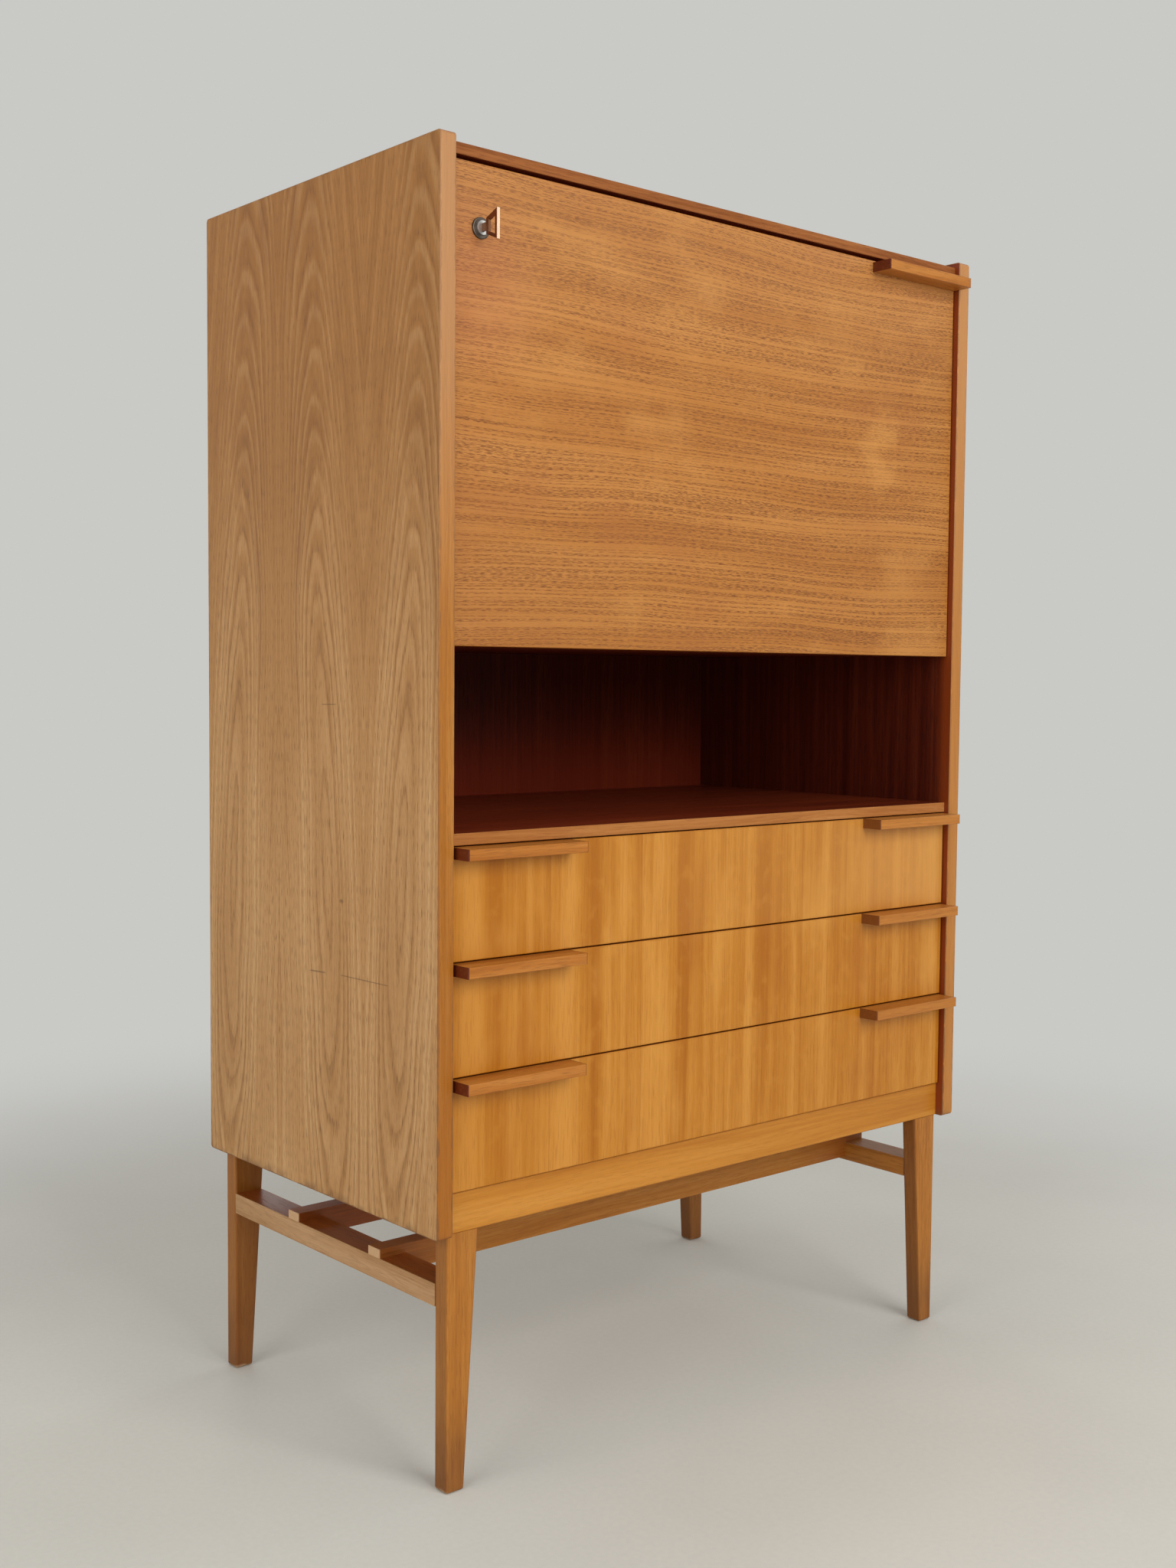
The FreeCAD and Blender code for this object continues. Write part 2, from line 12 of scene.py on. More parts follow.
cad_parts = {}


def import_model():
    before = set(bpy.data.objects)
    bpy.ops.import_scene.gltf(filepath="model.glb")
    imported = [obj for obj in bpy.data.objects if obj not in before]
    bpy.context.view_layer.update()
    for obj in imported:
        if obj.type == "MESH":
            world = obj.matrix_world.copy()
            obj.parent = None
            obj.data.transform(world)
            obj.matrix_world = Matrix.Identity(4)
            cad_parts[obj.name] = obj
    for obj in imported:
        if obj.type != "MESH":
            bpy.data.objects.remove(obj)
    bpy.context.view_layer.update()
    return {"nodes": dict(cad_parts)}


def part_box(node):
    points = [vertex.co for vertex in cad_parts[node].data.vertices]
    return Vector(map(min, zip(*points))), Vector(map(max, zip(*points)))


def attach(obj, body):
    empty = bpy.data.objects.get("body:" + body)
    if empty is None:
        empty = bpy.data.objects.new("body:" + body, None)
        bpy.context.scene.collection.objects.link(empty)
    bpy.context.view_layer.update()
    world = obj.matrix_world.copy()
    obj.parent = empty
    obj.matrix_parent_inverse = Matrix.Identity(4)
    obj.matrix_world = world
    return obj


LOG = logging.getLogger("escritoire")
BACKWARD = (0.0, 1.0, 0.0)
RIGHTWARD = (1.0, 0.0, 0.0)
FACING_UP = 0.9

Colour = tuple[float, float, float]
Point = tuple[float, float, float]
Pair = tuple[float, float]
Box = tuple[Vector, Vector]
Socket = bpy.types.NodeSocket
Value = float | Socket
Material = bpy.types.Material
Piece = bpy.types.Object
Nodes = dict[str, Piece]
ScrewPlace = tuple[Point, Point, float]


class Grain(Enum):
    """Direction that the fibres run in."""

    X = "x"
    Y = "y"
    Z = "z"


class Side(Enum):
    """Side of the cabinet, with the sign of its X."""

    LEFT = -1
    RIGHT = 1

    @property
    def word(self) -> str:
        """Lower-case name, as the nodes' names begin."""
        return self.name.lower()


@dataclass(frozen=True)
class Layer:
    """One layer of noise in a figure.

    The stretch is in features per metre along each axis. The shift sets the layer's seed apart.
    """

    stretch: Point
    shift: float
    octaves: float


def fibres(scale: Pair, shift: float, octaves: float) -> Layer:
    """Layer with one scale along the fibres and another both ways across them."""
    return Layer((scale[0], scale[1], scale[1]), shift, octaves)


@dataclass
class Surface:
    """What a finish gives at each point of a face."""

    colour: Socket
    roughness: Socket
    height: Socket


class Graph:
    """Node graph of one material, with the point's own coordinates ready to use."""

    relief_strength = 0.6
    edge_noise = Layer((70.0, 70.0, 70.0), 0.0, 3.0)
    edge_reach = (3.2, -1.1)
    edge_fade = 0.4
    scratch_fade = 0.006
    scratch_core = 0.3

    def __init__(self, name: str) -> None:
        """Start a material with its Principled shader.

        Args:
            name: Name of the material.
        """
        self.material = bpy.data.materials.new(name)
        self.material.use_nodes = True
        self.nodes = self.material.node_tree.nodes
        self.links = self.material.node_tree.links
        self.shader = self.nodes["Principled BSDF"]
        self.point = self.nodes.new("ShaderNodeTexCoord").outputs["Object"]
        self.x, self.y, self.z = self.add("ShaderNodeSeparateXYZ", {0: self.point}).outputs

    def feed(self, socket: Socket, value: Value | tuple) -> None:
        """Link an input to another socket, or set it to a constant.

        Args:
            socket: Input to feed.
            value: Socket or constant.
        """
        if isinstance(value, bpy.types.NodeSocket):
            self.links.new(value, socket)
        else:
            socket.default_value = value

    def add(self, kind: str, feeds: dict) -> bpy.types.Node:
        """Add a node and feed its inputs.

        Args:
            kind: Node type.
            feeds: Value or socket by input index or name.

        Returns:
            The new node.
        """
        node = self.nodes.new(kind)
        for key, value in feeds.items():
            self.feed(node.inputs[key], value)
        return node

    def math(self, operation: str, first: Value, second: Value = 0.0, third: Value = 0.0) -> Socket:
        """Take one arithmetic step.

        Args:
            operation: Name of the step.
            first: First value.
            second: Second value, where the step takes one.
            third: Third value, where the step takes one.

        Returns:
            The result.
        """
        node = self.add("ShaderNodeMath", {0: first, 1: second, 2: third})
        node.operation = operation
        return node.outputs[0]

    def plus(self, first: Value, second: Value) -> Socket:
        """Sum of two values."""
        return self.math("ADD", first, second)

    def minus(self, first: Value, second: Value) -> Socket:
        """First value less the second."""
        return self.math("SUBTRACT", first, second)

    def times(self, first: Value, second: Value) -> Socket:
        """Product of two values."""
        return self.math("MULTIPLY", first, second)

    def line(self, value: Value, slope: Value, start: Value) -> Socket:
        """Value times a slope, added to a start."""
        return self.math("MULTIPLY_ADD", value, slope, start)

    def swing(self, noise: Socket, reach: float) -> Socket:
        """Noise about 0.5 turned into a swing about nought."""
        return self.line(noise, reach, -0.5 * reach)

    def smaller(self, first: Value, second: Value) -> Socket:
        """Smaller of two values."""
        return self.math("MINIMUM", first, second)

    def larger(self, first: Value, second: Value) -> Socket:
        """Larger of two values."""
        return self.math("MAXIMUM", first, second)

    def size(self, value: Value) -> Socket:
        """Value without its sign."""
        return self.math("ABSOLUTE", value)

    def gap(self, first: Value, second: Value) -> Socket:
        """Distance between two values."""
        return self.size(self.minus(first, second))

    def vector(self, first: Value, second: Value, third: Value) -> Socket:
        """Three values joined as a vector."""
        return self.add("ShaderNodeCombineXYZ", {0: first, 1: second, 2: third}).outputs[0]

    def flat(self, first: Value, second: Value) -> Socket:
        """Two values joined as a point of a flat face."""
        return self.vector(first, second, 0.0)

    def distance(self, first: Value, second: Value) -> Socket:
        """Length of a two-dimensional offset.

        Args:
            first: Offset one way.
            second: Offset the other way.

        Returns:
            The length.
        """
        node = self.add("ShaderNodeVectorMath", {0: self.flat(first, second)})
        node.operation = "LENGTH"
        return node.outputs["Value"]

    def noise(self, point: Socket, layer: Layer, seed: float) -> Socket:
        """Smooth noise in a stretched space.

        Args:
            point: Point to read at.
            layer: Stretch, shift of the seed and octaves.
            seed: Fourth coordinate, which sets one piece apart from the next.

        Returns:
            Value about 0.5, mostly between 0.25 and 0.75.
        """
        scaled = self.add("ShaderNodeVectorMath", {0: point, 1: layer.stretch})
        scaled.operation = "MULTIPLY"
        node = self.nodes.new("ShaderNodeTexNoise")
        node.noise_dimensions = "4D"
        self.links.new(scaled.outputs[0], node.inputs["Vector"])
        node.inputs["W"].default_value = seed + layer.shift
        node.inputs["Scale"].default_value = 1.0
        node.inputs["Detail"].default_value = layer.octaves
        return node.outputs[0]

    def ease(self, value: Value, low: float, high: float) -> Socket:
        """Smooth step from 0 at low to 1 at high.

        Args:
            value: Value to step by.
            low: Where the step begins; it may be the larger.
            high: Where the step ends.

        Returns:
            Share from 0 to 1.
        """
        flip = low > high
        node = self.add("ShaderNodeMapRange", {0: value, 1: min(low, high), 2: max(low, high)})
        node.interpolation_type = "SMOOTHSTEP"
        node.inputs[3].default_value = 1.0 if flip else 0.0
        node.inputs[4].default_value = 0.0 if flip else 1.0
        return node.outputs[0]

    def pulse(self, value: Value, rise: Pair, fall: Pair) -> Socket:
        """Share that rises over one band of a value and falls over another."""
        return self.times(self.ease(value, *rise), self.ease(value, *fall))

    def near(self, value: Value, face: float, skin: float, core: float = 0.6) -> Socket:
        """1 in the outer core of a face's skin, 0 under the skin, whose sign leads inwards."""
        return self.ease(value, face + skin, face + core * skin)

    def ramp(self, value: Socket, places: Sequence[float], colours: Sequence[Colour]) -> Socket:
        """Colour from a row of stops.

        Args:
            value: Position along the row.
            places: Position of each stop.
            colours: Colour of each stop.

        Returns:
            Colour socket.
        """
        node = self.add("ShaderNodeValToRGB", {0: value})
        row = node.color_ramp.elements
        while len(row) < len(places):
            row.new(1.0)
        for element, place, colour in zip(row, places, colours):
            element.position = place
            element.color = (*colour, 1.0)
        return node.outputs[0]

    def tint(self, share: Value, base: Socket, colour: Colour | Socket) -> Socket:
        """Mix a colour into another.

        Args:
            share: How much of it, from 0 to 1.
            base: Colour under it.
            colour: Colour to mix in.

        Returns:
            The mixed colour.
        """
        over = colour if isinstance(colour, bpy.types.NodeSocket) else (*colour, 1.0)
        node = self.nodes.new("ShaderNodeMix")
        node.data_type = "RGBA"
        for index, value in ((0, share), (6, base), (7, over)):
            self.feed(node.inputs[index], value)
        return node.outputs[2]

    def between(self, share: Value, first: Value, second: Value) -> Socket:
        """Number between two others by a share."""
        return self.add("ShaderNodeMix", {0: share, 2: first, 3: second}).outputs[0]

    def choose(self, share: Socket, under: Surface, over: Surface) -> Surface:
        """Lay one surface over another.

        Args:
            share: 1 where the upper surface shows, 0 where the lower one does.
            under: Lower surface.
            over: Upper surface.

        Returns:
            The joint surface.
        """
        return Surface(
            self.tint(share, under.colour, over.colour),
            self.between(share, under.roughness, over.roughness),
            self.between(share, under.height, over.height),
        )

    def fibre(self, grain: Grain) -> tuple[Socket, Socket, Socket]:
        """Coordinates in the order that the fibres give.

        Args:
            grain: Direction of the fibres.

        Returns:
            Coordinates along the fibres, across them and into the board.
        """
        order = {
            Grain.X: (self.x, self.z, self.y),
            Grain.Y: (self.y, self.z, self.x),
            Grain.Z: (self.z, self.x, self.y),
        }
        return order[grain]

    def edges(self, box: Box, width: float, seed: float) -> Socket:
        """Share of wear along the edges of a board.

        Args:
            box: Lowest and highest corner of the board.
            width: Reach of the wear from an edge.
            seed: Seed of the ragged border.

        Returns:
            1 on worn edges, 0 inside the faces.
        """
        gaps = []
        for axis, low, high in zip((self.x, self.y, self.z), box[0], box[1]):
            gaps.append(self.smaller(self.minus(axis, low), self.minus(high, axis)))
        nearer = self.smaller(gaps[0], gaps[1])
        farther = self.larger(gaps[0], gaps[1])
        middle = self.larger(nearer, self.smaller(farther, gaps[2]))
        ragged = self.noise(self.point, self.edge_noise, seed)
        reach = self.line(ragged, self.edge_reach[0] * width, self.edge_reach[1] * width)
        return self.ease(self.minus(middle, reach), self.edge_fade * width, 0.0)

    def scratch(self, across: Socket, up: Socket, start: Pair, end: Pair, width: float) -> Socket:
        """Share of a thin straight mark between two points of a face.

        Args:
            across: First coordinate on the face.
            up: Second coordinate on the face.
            start: Point with the smaller first coordinate.
            end: Point with the larger first coordinate.
            width: Half width of the mark.

        Returns:
            1 on the mark, 0 off it.
        """
        slope = (end[1] - start[1]) / (end[0] - start[0])
        off = self.gap(up, self.line(across, slope, start[1] - slope * start[0]))
        rise = (start[0], start[0] + self.scratch_fade)
        fall = (end[0], end[0] - self.scratch_fade)
        return self.times(self.pulse(across, rise, fall), self.ease(off, width, self.scratch_core * width))

    def close(self, surface: Surface, bump: float) -> Material:
        """Wire a surface to the shader.

        Args:
            surface: Colour, roughness and height.
            bump: Depth of the relief in metres.

        Returns:
            The finished material.
        """
        feeds = {"Height": surface.height, "Distance": bump, "Strength": self.relief_strength}
        relief = self.add("ShaderNodeBump", feeds)
        self.links.new(surface.colour, self.shader.inputs["Base Color"])
        self.links.new(surface.roughness, self.shader.inputs["Roughness"])
        self.links.new(relief.outputs[0], self.shader.inputs["Normal"])
        return self.material


@dataclass(frozen=True)
class Wash:
    """Thin colour laid over another where some value passes through a band."""

    band: Pair
    strength: float
    colour: Colour

    def share(self, graph: Graph, value: Value, where: Value | None = None) -> Socket:
        """How strongly the wash shows.

        Args:
            graph: Graph to build in.
            value: Value that passes through the band.
            where: Share that limits the wash further.

        Returns:
            Share from 0 to the wash's strength.
        """
        there = graph.ease(value, *self.band)
        if where is not None:
            there = graph.times(there, where)
        return graph.times(there, self.strength)

    def over(self, graph: Graph, base: Socket, value: Value, where: Value | None = None) -> Socket:
        """Lay the wash over a colour, by the share that it shows with."""
        return graph.tint(self.share(graph, value, where), base, self.colour)


@dataclass(frozen=True)
class Timber:
    """Straight-grained wood under a thin varnish, from broad bands down to single pores.

    The scales are features per metre along and across the fibres.
    """

    name: str
    light: Colour
    mid: Colour
    dark: Colour
    pore: Colour
    broad: Pair = (2.2, 34.0)
    streak: Pair = (7.0, 380.0)
    pores: Pair = (55.0, 1100.0)
    drift: Pair = (1.7, 6.0)
    pore_band: Pair = (0.53, 0.66)
    pore_share: float = 0.45
    pore_roughness: float = 0.2
    wave: float = 0.02
    weight: float = 0.5
    spread: float = 0.16
    satin: float = 0.4
    unevenness: float = 0.22
    ridges: float = 0.4
    relief: float = 0.0002
    coat: float = 0.05
    coat_roughness: float = 0.3
    gloss: float = 0.28
    rub_reach: float = 0.0016
    rub_share: float = 0.4
    rub_roughness: float = 0.2
    rub_shift: float = 9.0

    @property
    def tones(self) -> tuple[Colour, Colour, Colour]:
        """Colours from dark to light."""
        return self.dark, self.mid, self.light

    def paint(self, graph: Graph, grain: Grain, seed: float) -> Surface:
        """Lay the wood over the whole piece, with its fibres along the grain."""
        return self.lay(graph, *graph.fibre(grain), seed)

    def lay(self, graph: Graph, along: Value, across: Value, depth: Value, seed: float) -> Surface:
        """Lay the wood by coordinates of its own.

        Args:
            graph: Graph to build in.
            along: Coordinate along the fibres.
            across: Coordinate across them.
            depth: Coordinate into the board.
            seed: Seed that sets this piece apart.

        Returns:
            The painted surface.
        """
        board = graph.vector(along, across, depth)
        slow = graph.noise(board, fibres(self.drift, shift=0.0, octaves=2.0), seed)
        shift = graph.swing(slow, 2.0 * self.wave)
        point = graph.vector(along, graph.plus(across, shift), graph.plus(depth, shift))
        broad = graph.noise(point, fibres(self.broad, shift=1.3, octaves=3.0), seed)
        streak = graph.noise(point, fibres(self.streak, shift=2.7, octaves=3.0), seed)
        dots = graph.noise(point, fibres(self.pores, shift=4.1, octaves=1.0), seed)
        tone = graph.between(self.weight, streak, broad)
        colour = graph.ramp(tone, (0.5 - self.spread, 0.5, 0.5 + self.spread), self.tones)
        pits = graph.times(graph.ease(dots, *self.pore_band), self.pore_share)
        rough = graph.line(streak, self.unevenness, self.satin - 0.5 * self.unevenness)
        rough = graph.plus(rough, graph.times(pits, self.pore_roughness))
        height = graph.minus(graph.times(streak, self.ridges), pits)
        return Surface(graph.tint(pits, colour, self.pore), rough, height)

    def piece(self, node: str, grain: Grain, seed: float) -> Material:
        """Material of a piece that is this wood all over, worn along its edges.

        Args:
            node: Name of the piece.
            grain: Direction of the fibres.
            seed: Seed that sets this piece apart.

        Returns:
            The finished material.
        """
        graph = Graph("%s_%s" % (self.name, node))
        surface = self.worn(graph, self.paint(graph, grain, seed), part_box(node), seed)
        return self.finish(graph, surface)

    def worn(self, graph: Graph, surface: Surface, box: Box, seed: float) -> Surface:
        """Darken and roughen a surface along the edges of its board.

        Args:
            graph: Graph to build in.
            surface: Surface of the whole board.
            box: Lowest and highest corner of the board.
            seed: Seed that sets this piece apart.

        Returns:
            The worn surface.
        """
        rub = graph.times(graph.edges(box, self.rub_reach, seed + self.rub_shift), self.rub_share)
        colour = graph.tint(rub, surface.colour, self.dark)
        return Surface(colour, graph.line(rub, self.rub_roughness, surface.roughness), surface.height)

    def finish(self, graph: Graph, surface: Surface) -> Material:
        """Wire the surface and set the varnish.

        Args:
            graph: Graph to close.
            surface: Surface of the whole piece.

        Returns:
            The finished material.
        """
        graph.shader.inputs["Specular IOR Level"].default_value = self.gloss
        graph.shader.inputs["Coat Weight"].default_value = self.coat
        graph.shader.inputs["Coat Roughness"].default_value = self.coat_roughness
        return graph.close(surface, self.relief)


@dataclass(frozen=True)
class ArchedVeneer:
    """Crown-cut veneer laid as mirrored leaves, with nested arches up the middle of each leaf.

    The figure is the distance of each point from the leaning middle of a trunk. A band is where a share
    rises or falls, and a line is the slope and start by which a value becomes a share.
    """

    upper: tuple[Colour, Colour, Colour]
    lower: tuple[Colour, Colour, Colour]
    pore: Colour
    stops: Point = (0.40, 0.5, 0.61)
    fade_band: Pair = (1.25, 0.5)
    leaf: float = 0.158
    seam: float = -0.081
    ring: float = 0.0044
    ring_sway: float = 1.2
    middle_height: float = 0.56
    rise: float = 0.11
    pith: float = 0.030
    lean: float = 0.051
    arch_place: Pair = (0.055, 0.38)
    arch_sway: float = 0.03
    bends: Point = (0.018, 0.016, 0.0036)
    cloud_weight: float = 0.55
    year_weight: float = 0.35
    early_rise: Pair = (0.0, 0.07)
    early_fall: Pair = (0.4, 0.08)
    late_rise: Pair = (0.5, 0.75)
    late_fall: Pair = (1.0, 0.85)
    late_share: float = 0.5
    crown_band: Pair = (0.062, 0.03)
    crown_line: Pair = (0.75, 0.25)
    shown_band: Pair = (0.34, 0.66)
    shown_line: Pair = (0.36, 0.1)
    tick_band: Pair = (0.52, 0.64)
    tick_line: Pair = (1.6, 0.2)
    pit_line: Pair = (0.3, 0.36)
    porous_depth: float = 0.6
    ridges: float = 0.4
    satin_line: Pair = (0.2, 0.38)
    pale: Colour = (0.62, 0.37, 0.16)
    pale_rings: tuple[Pair, ...] = ((0.0735, 1.1), (0.0668, 0.6), (0.0802, 0.6))
    pale_width: Pair = (0.0016, 0.0006)
    pale_below: Pair = (1.02, 0.78)
    slow: Layer = Layer((2.2, 8.0, 1.0), 0.0, 2.0)
    years: Layer = Layer((120.0, 1.0, 1.0), 8.0, 3.0)
    shown: Layer = Layer((3.0, 18.0, 1.0), 6.6, 2.0)
    strip: Layer = Layer((3.0, 330.0, 120.0), 2.3, 4.0)
    ticks: Layer = Layer((80.0, 1100.0, 1.0), 3.9, 1.0)
    cloud: Layer = Layer((2.4, 12.0, 1.0), 5.2, 3.0)
    fine: Layer = Layer((9.0, 75.0, 1.0), 1.1, 3.0)
    drift: Layer = Layer((1.6, 5.0, 1.0), 9.5, 2.0)

    def paint(self, graph: Graph, seed: float) -> Surface:
        """Lay the veneer on an upright face that runs along Y and Z.

        Args:
            graph: Graph to build in.
            seed: Seed that sets this panel apart.

        Returns:
            The painted surface.
        """
        folded = graph.math("PINGPONG", graph.minus(graph.y, self.seam), self.leaf)
        point = graph.flat(graph.z, folded)
        slow = graph.noise(point, self.slow, seed)
        middle = graph.line(graph.z, self.lean, self.arch_place[0] - self.arch_place[1] * self.lean)
        out = graph.plus(graph.minus(folded, middle), graph.swing(slow, self.arch_sway))
        radius = self.radius(graph, out, folded, slow, seed)
        years = graph.noise(graph.vector(radius, 0.0, 0.0), self.years, seed)
        strip = graph.noise(graph.vector(graph.z, radius, folded), self.strip, seed)
        ticks = graph.noise(point, self.ticks, seed)
        cloud = graph.noise(point, self.cloud, seed)
        tone = graph.between(self.year_weight, graph.between(self.cloud_weight, strip, cloud), years)
        high = graph.ramp(tone, self.stops, self.upper)
        low = graph.ramp(tone, self.stops, self.lower)
        # Paler towards the bottom: partly the veneer's own colour, partly painted light.
        colour = graph.tint(graph.ease(graph.z, *self.fade_band), high, low)

        # Each ring begins with a thin porous line and ends pale. Both show most in the arches' middle.
        count = graph.math("DIVIDE", radius, self.ring)
        turn = graph.math("FRACT", graph.line(years, self.ring_sway, count))
        early = graph.pulse(turn, self.early_rise, self.early_fall)
        late = graph.pulse(turn, self.late_rise, self.late_fall)
        crown = graph.line(graph.ease(graph.size(out), *self.crown_band), *self.crown_line)
        shown = graph.ease(graph.noise(point, self.shown, seed), *self.shown_band)
        porous = graph.times(graph.times(early, crown), graph.line(shown, *self.shown_line))
        porous = graph.times(porous, graph.line(ticks, *self.tick_line))
        colour = graph.tint(porous, colour, self.pore)
        lift = graph.times(graph.times(late, crown), graph.times(strip, self.late_share))
        colour = graph.tint(lift, colour, self.lower[2])
        colour = self.paled(graph, colour, radius, strip)
        pits = graph.times(graph.ease(ticks, *self.tick_band), graph.line(early, *self.pit_line))
        colour = graph.tint(pits, colour, self.pore)
        sunk = graph.plus(pits, graph.times(porous, self.porous_depth))
        height = graph.minus(graph.times(strip, self.ridges), sunk)
        return Surface(colour, graph.line(strip, *self.satin_line), height)

    def radius(self, graph: Graph, out: Socket, folded: Socket, slow: Socket, seed: float) -> Socket:
        """Distance of a point of the leaf from the middle of the trunk.

        Args:
            graph: Graph to build in.
            out: Distance from the middle of the arches.
            folded: Distance across the leaf.
            slow: Slow noise that bends the rings.
            seed: Seed that sets this panel apart.

        Returns:
            Radius in metres.
        """
        climb = graph.times(graph.minus(graph.z, self.middle_height), self.rise)
        radius = graph.distance(out, graph.distance(climb, self.pith))
        fine = graph.noise(graph.flat(graph.z, folded), self.fine, seed)
        drift = graph.noise(graph.flat(graph.z, graph.y), self.drift, seed)
        for bend, reach in zip((slow, drift, fine), self.bends):
            radius = graph.line(bend, reach, radius)
        return radius

    def paled(self, graph: Graph, colour: Socket, radius: Socket, strip: Socket) -> Socket:
        """Draw the few broad pale rings in the lower part of the leaf.

        Args:
            graph: Graph to build in.
            colour: Colour of the leaf.
            radius: Distance from the middle of the trunk.
            strip: Fine streaks that break the rings up.

        Returns:
            The colour with its pale rings.
        """
        below = graph.ease(graph.z, *self.pale_below)
        for place, share in self.pale_rings:
            band = graph.ease(graph.gap(radius, place), *self.pale_width)
            band = graph.times(band, graph.times(strip, share))
            colour = graph.tint(graph.times(band, below), colour, self.pale)
        return colour


@dataclass(frozen=True)
class RowedVeneer:
    """Level veneer whose short dark pores stand in close rows along the year rings."""

    timber: Timber
    flow: Layer = Layer((1.6, 4.0, 1.0), 0.0, 2.0)
    ring: Layer = Layer((2.4, 640.0, 1.0), 1.3, 2.0)
    broad: Layer = Layer((1.8, 22.0, 1.0), 2.1, 3.0)
    hair: Layer = Layer((14.0, 900.0, 1.0), 3.2, 2.0)
    dash: Layer = Layer((150.0, 1750.0, 1.0), 4.1, 1.0)
    sway: float = 0.05
    hair_weight: float = 0.4
    broad_weight: float = 0.66
    stops: Point = (0.36, 0.5, 0.64)
    row_band: Pair = (0.58, 0.44)
    row_share: float = 0.88
    dash_band: Pair = (0.44, 0.58)
    dash_share: float = 0.86
    dash_roughness: float = 0.2
    hair_roughness: float = 0.12

    def paint(self, graph: Graph, up: Socket, seed: float) -> Surface:
        """Lay the rows along X.

        Args:
            graph: Graph to build in.
            up: Coordinate across the rows.
            seed: Seed of the figure.

        Returns:
            The painted surface.
        """
        flow = graph.noise(graph.flat(graph.x, up), self.flow, seed)
        point = graph.flat(graph.x, graph.line(flow, self.sway, up))
        ring = graph.noise(point, self.ring, seed)
        broad = graph.noise(point, self.broad, seed)
        hair = graph.noise(point, self.hair, seed)
        dots = graph.noise(point, self.dash, seed)
        tone = graph.between(self.broad_weight, graph.between(self.hair_weight, ring, hair), broad)
        colour = graph.ramp(tone, self.stops, self.timber.tones)
        crowd = graph.line(graph.ease(ring, *self.row_band), self.row_share, 1.0 - self.row_share)
        pits = graph.times(graph.ease(dots, *self.dash_band), crowd)
        pits = graph.times(pits, self.dash_share)
        rough = graph.line(pits, self.dash_roughness, self.timber.satin)
        rough = graph.plus(rough, graph.swing(hair, self.hair_roughness))
        return Surface(graph.tint(pits, colour, self.timber.pore), rough, graph.times(pits, -1.0))


@dataclass(frozen=True)
class RibbonVeneer:
    """Quarter-cut veneer in narrow upright leaves that follow each other across the drawers."""

    timber: Timber
    leaf: float = 0.121
    first_seam: float = -0.366
    leaf_shift: float = 0.004
    seam_band: Pair = (0.0011, 0.0003)
    seam_share: float = 0.2
    ripple_sheen: Layer = Layer((60.0, 55.0, 1.0), 7.0, 2.0)
    ripple_band: Pair = (0.5, 0.72)
    ripple_share: float = 0.25
    drift: Layer = Layer((16.0, 5.0, 1.0), 8.0, 3.0)
    glow: Wash = Wash((0.52, 0.7), 0.45, (0.68, 0.320, 0.060))
    shadow: Wash = Wash((0.48, 0.32), 0.4, (0.36, 0.105, 0.006))
    olive: Wash = Wash((-0.2, -0.3), 0.28, (0.40, 0.135, 0.002))
    painted_light: Colour = (0.70, 0.355, 0.095)
    sunned_above: Pair = (0.49, 0.53)
    sunned_steps: tuple[tuple[Pair, float], ...] = (((-0.25, 0.0), 0.12), ((0.1, 0.3), 0.3))

    def paint(self, graph: Graph, seed: float) -> Surface:
        """Lay the leaves side by side along X, with the fibres upright.

        Args:
            graph: Graph to build in.
            seed: Seed of the flitch that all leaves come from.

        Returns:
            The painted surface.
        """
        count = graph.math("DIVIDE", graph.minus(graph.x, self.first_seam), self.leaf)
        within = graph.times(graph.math("FRACT", count), self.leaf)
        number = graph.math("FLOOR", count)
        surface = self.timber.lay(graph, graph.z, within, graph.times(number, self.leaf_shift), seed)
        point = graph.flat(graph.x, graph.z)
        # The ripple figure shown as lighter mottles: partly the veneer's figure, partly painted sheen.
        ripple_sheen = graph.ease(graph.noise(point, self.ripple_sheen, seed), *self.ripple_band)
        colour = graph.tint(graph.times(ripple_sheen, self.ripple_share), surface.colour, self.timber.light)
        drift = graph.noise(point, self.drift, seed)
        colour = self.glow.over(graph, colour, drift)
        colour = self.shadow.over(graph, colour, drift)
        colour = self.olive.over(graph, colour, graph.x)
        # Painted light: the uppermost front lighter, more towards the right.
        colour = graph.tint(self.light_share(graph), colour, self.painted_light)
        off = graph.smaller(within, graph.minus(self.leaf, within))
        seam = graph.times(graph.ease(off, *self.seam_band), self.seam_share)
        return Surface(graph.tint(seam, colour, self.timber.pore), surface.roughness, surface.height)

    def light_share(self, graph: Graph) -> Socket:
        """How much painted light brightens the uppermost front, more towards the right.

        Args:
            graph: Graph to build in.

        Returns:
            Share from 0 to 1.
        """
        (near_band, near_share), (far_band, far_share) = self.sunned_steps
        near = graph.times(graph.ease(graph.x, *near_band), near_share)
        both = graph.line(graph.ease(graph.x, *far_band), far_share, near)
        return graph.times(graph.ease(graph.z, *self.sunned_above), both)


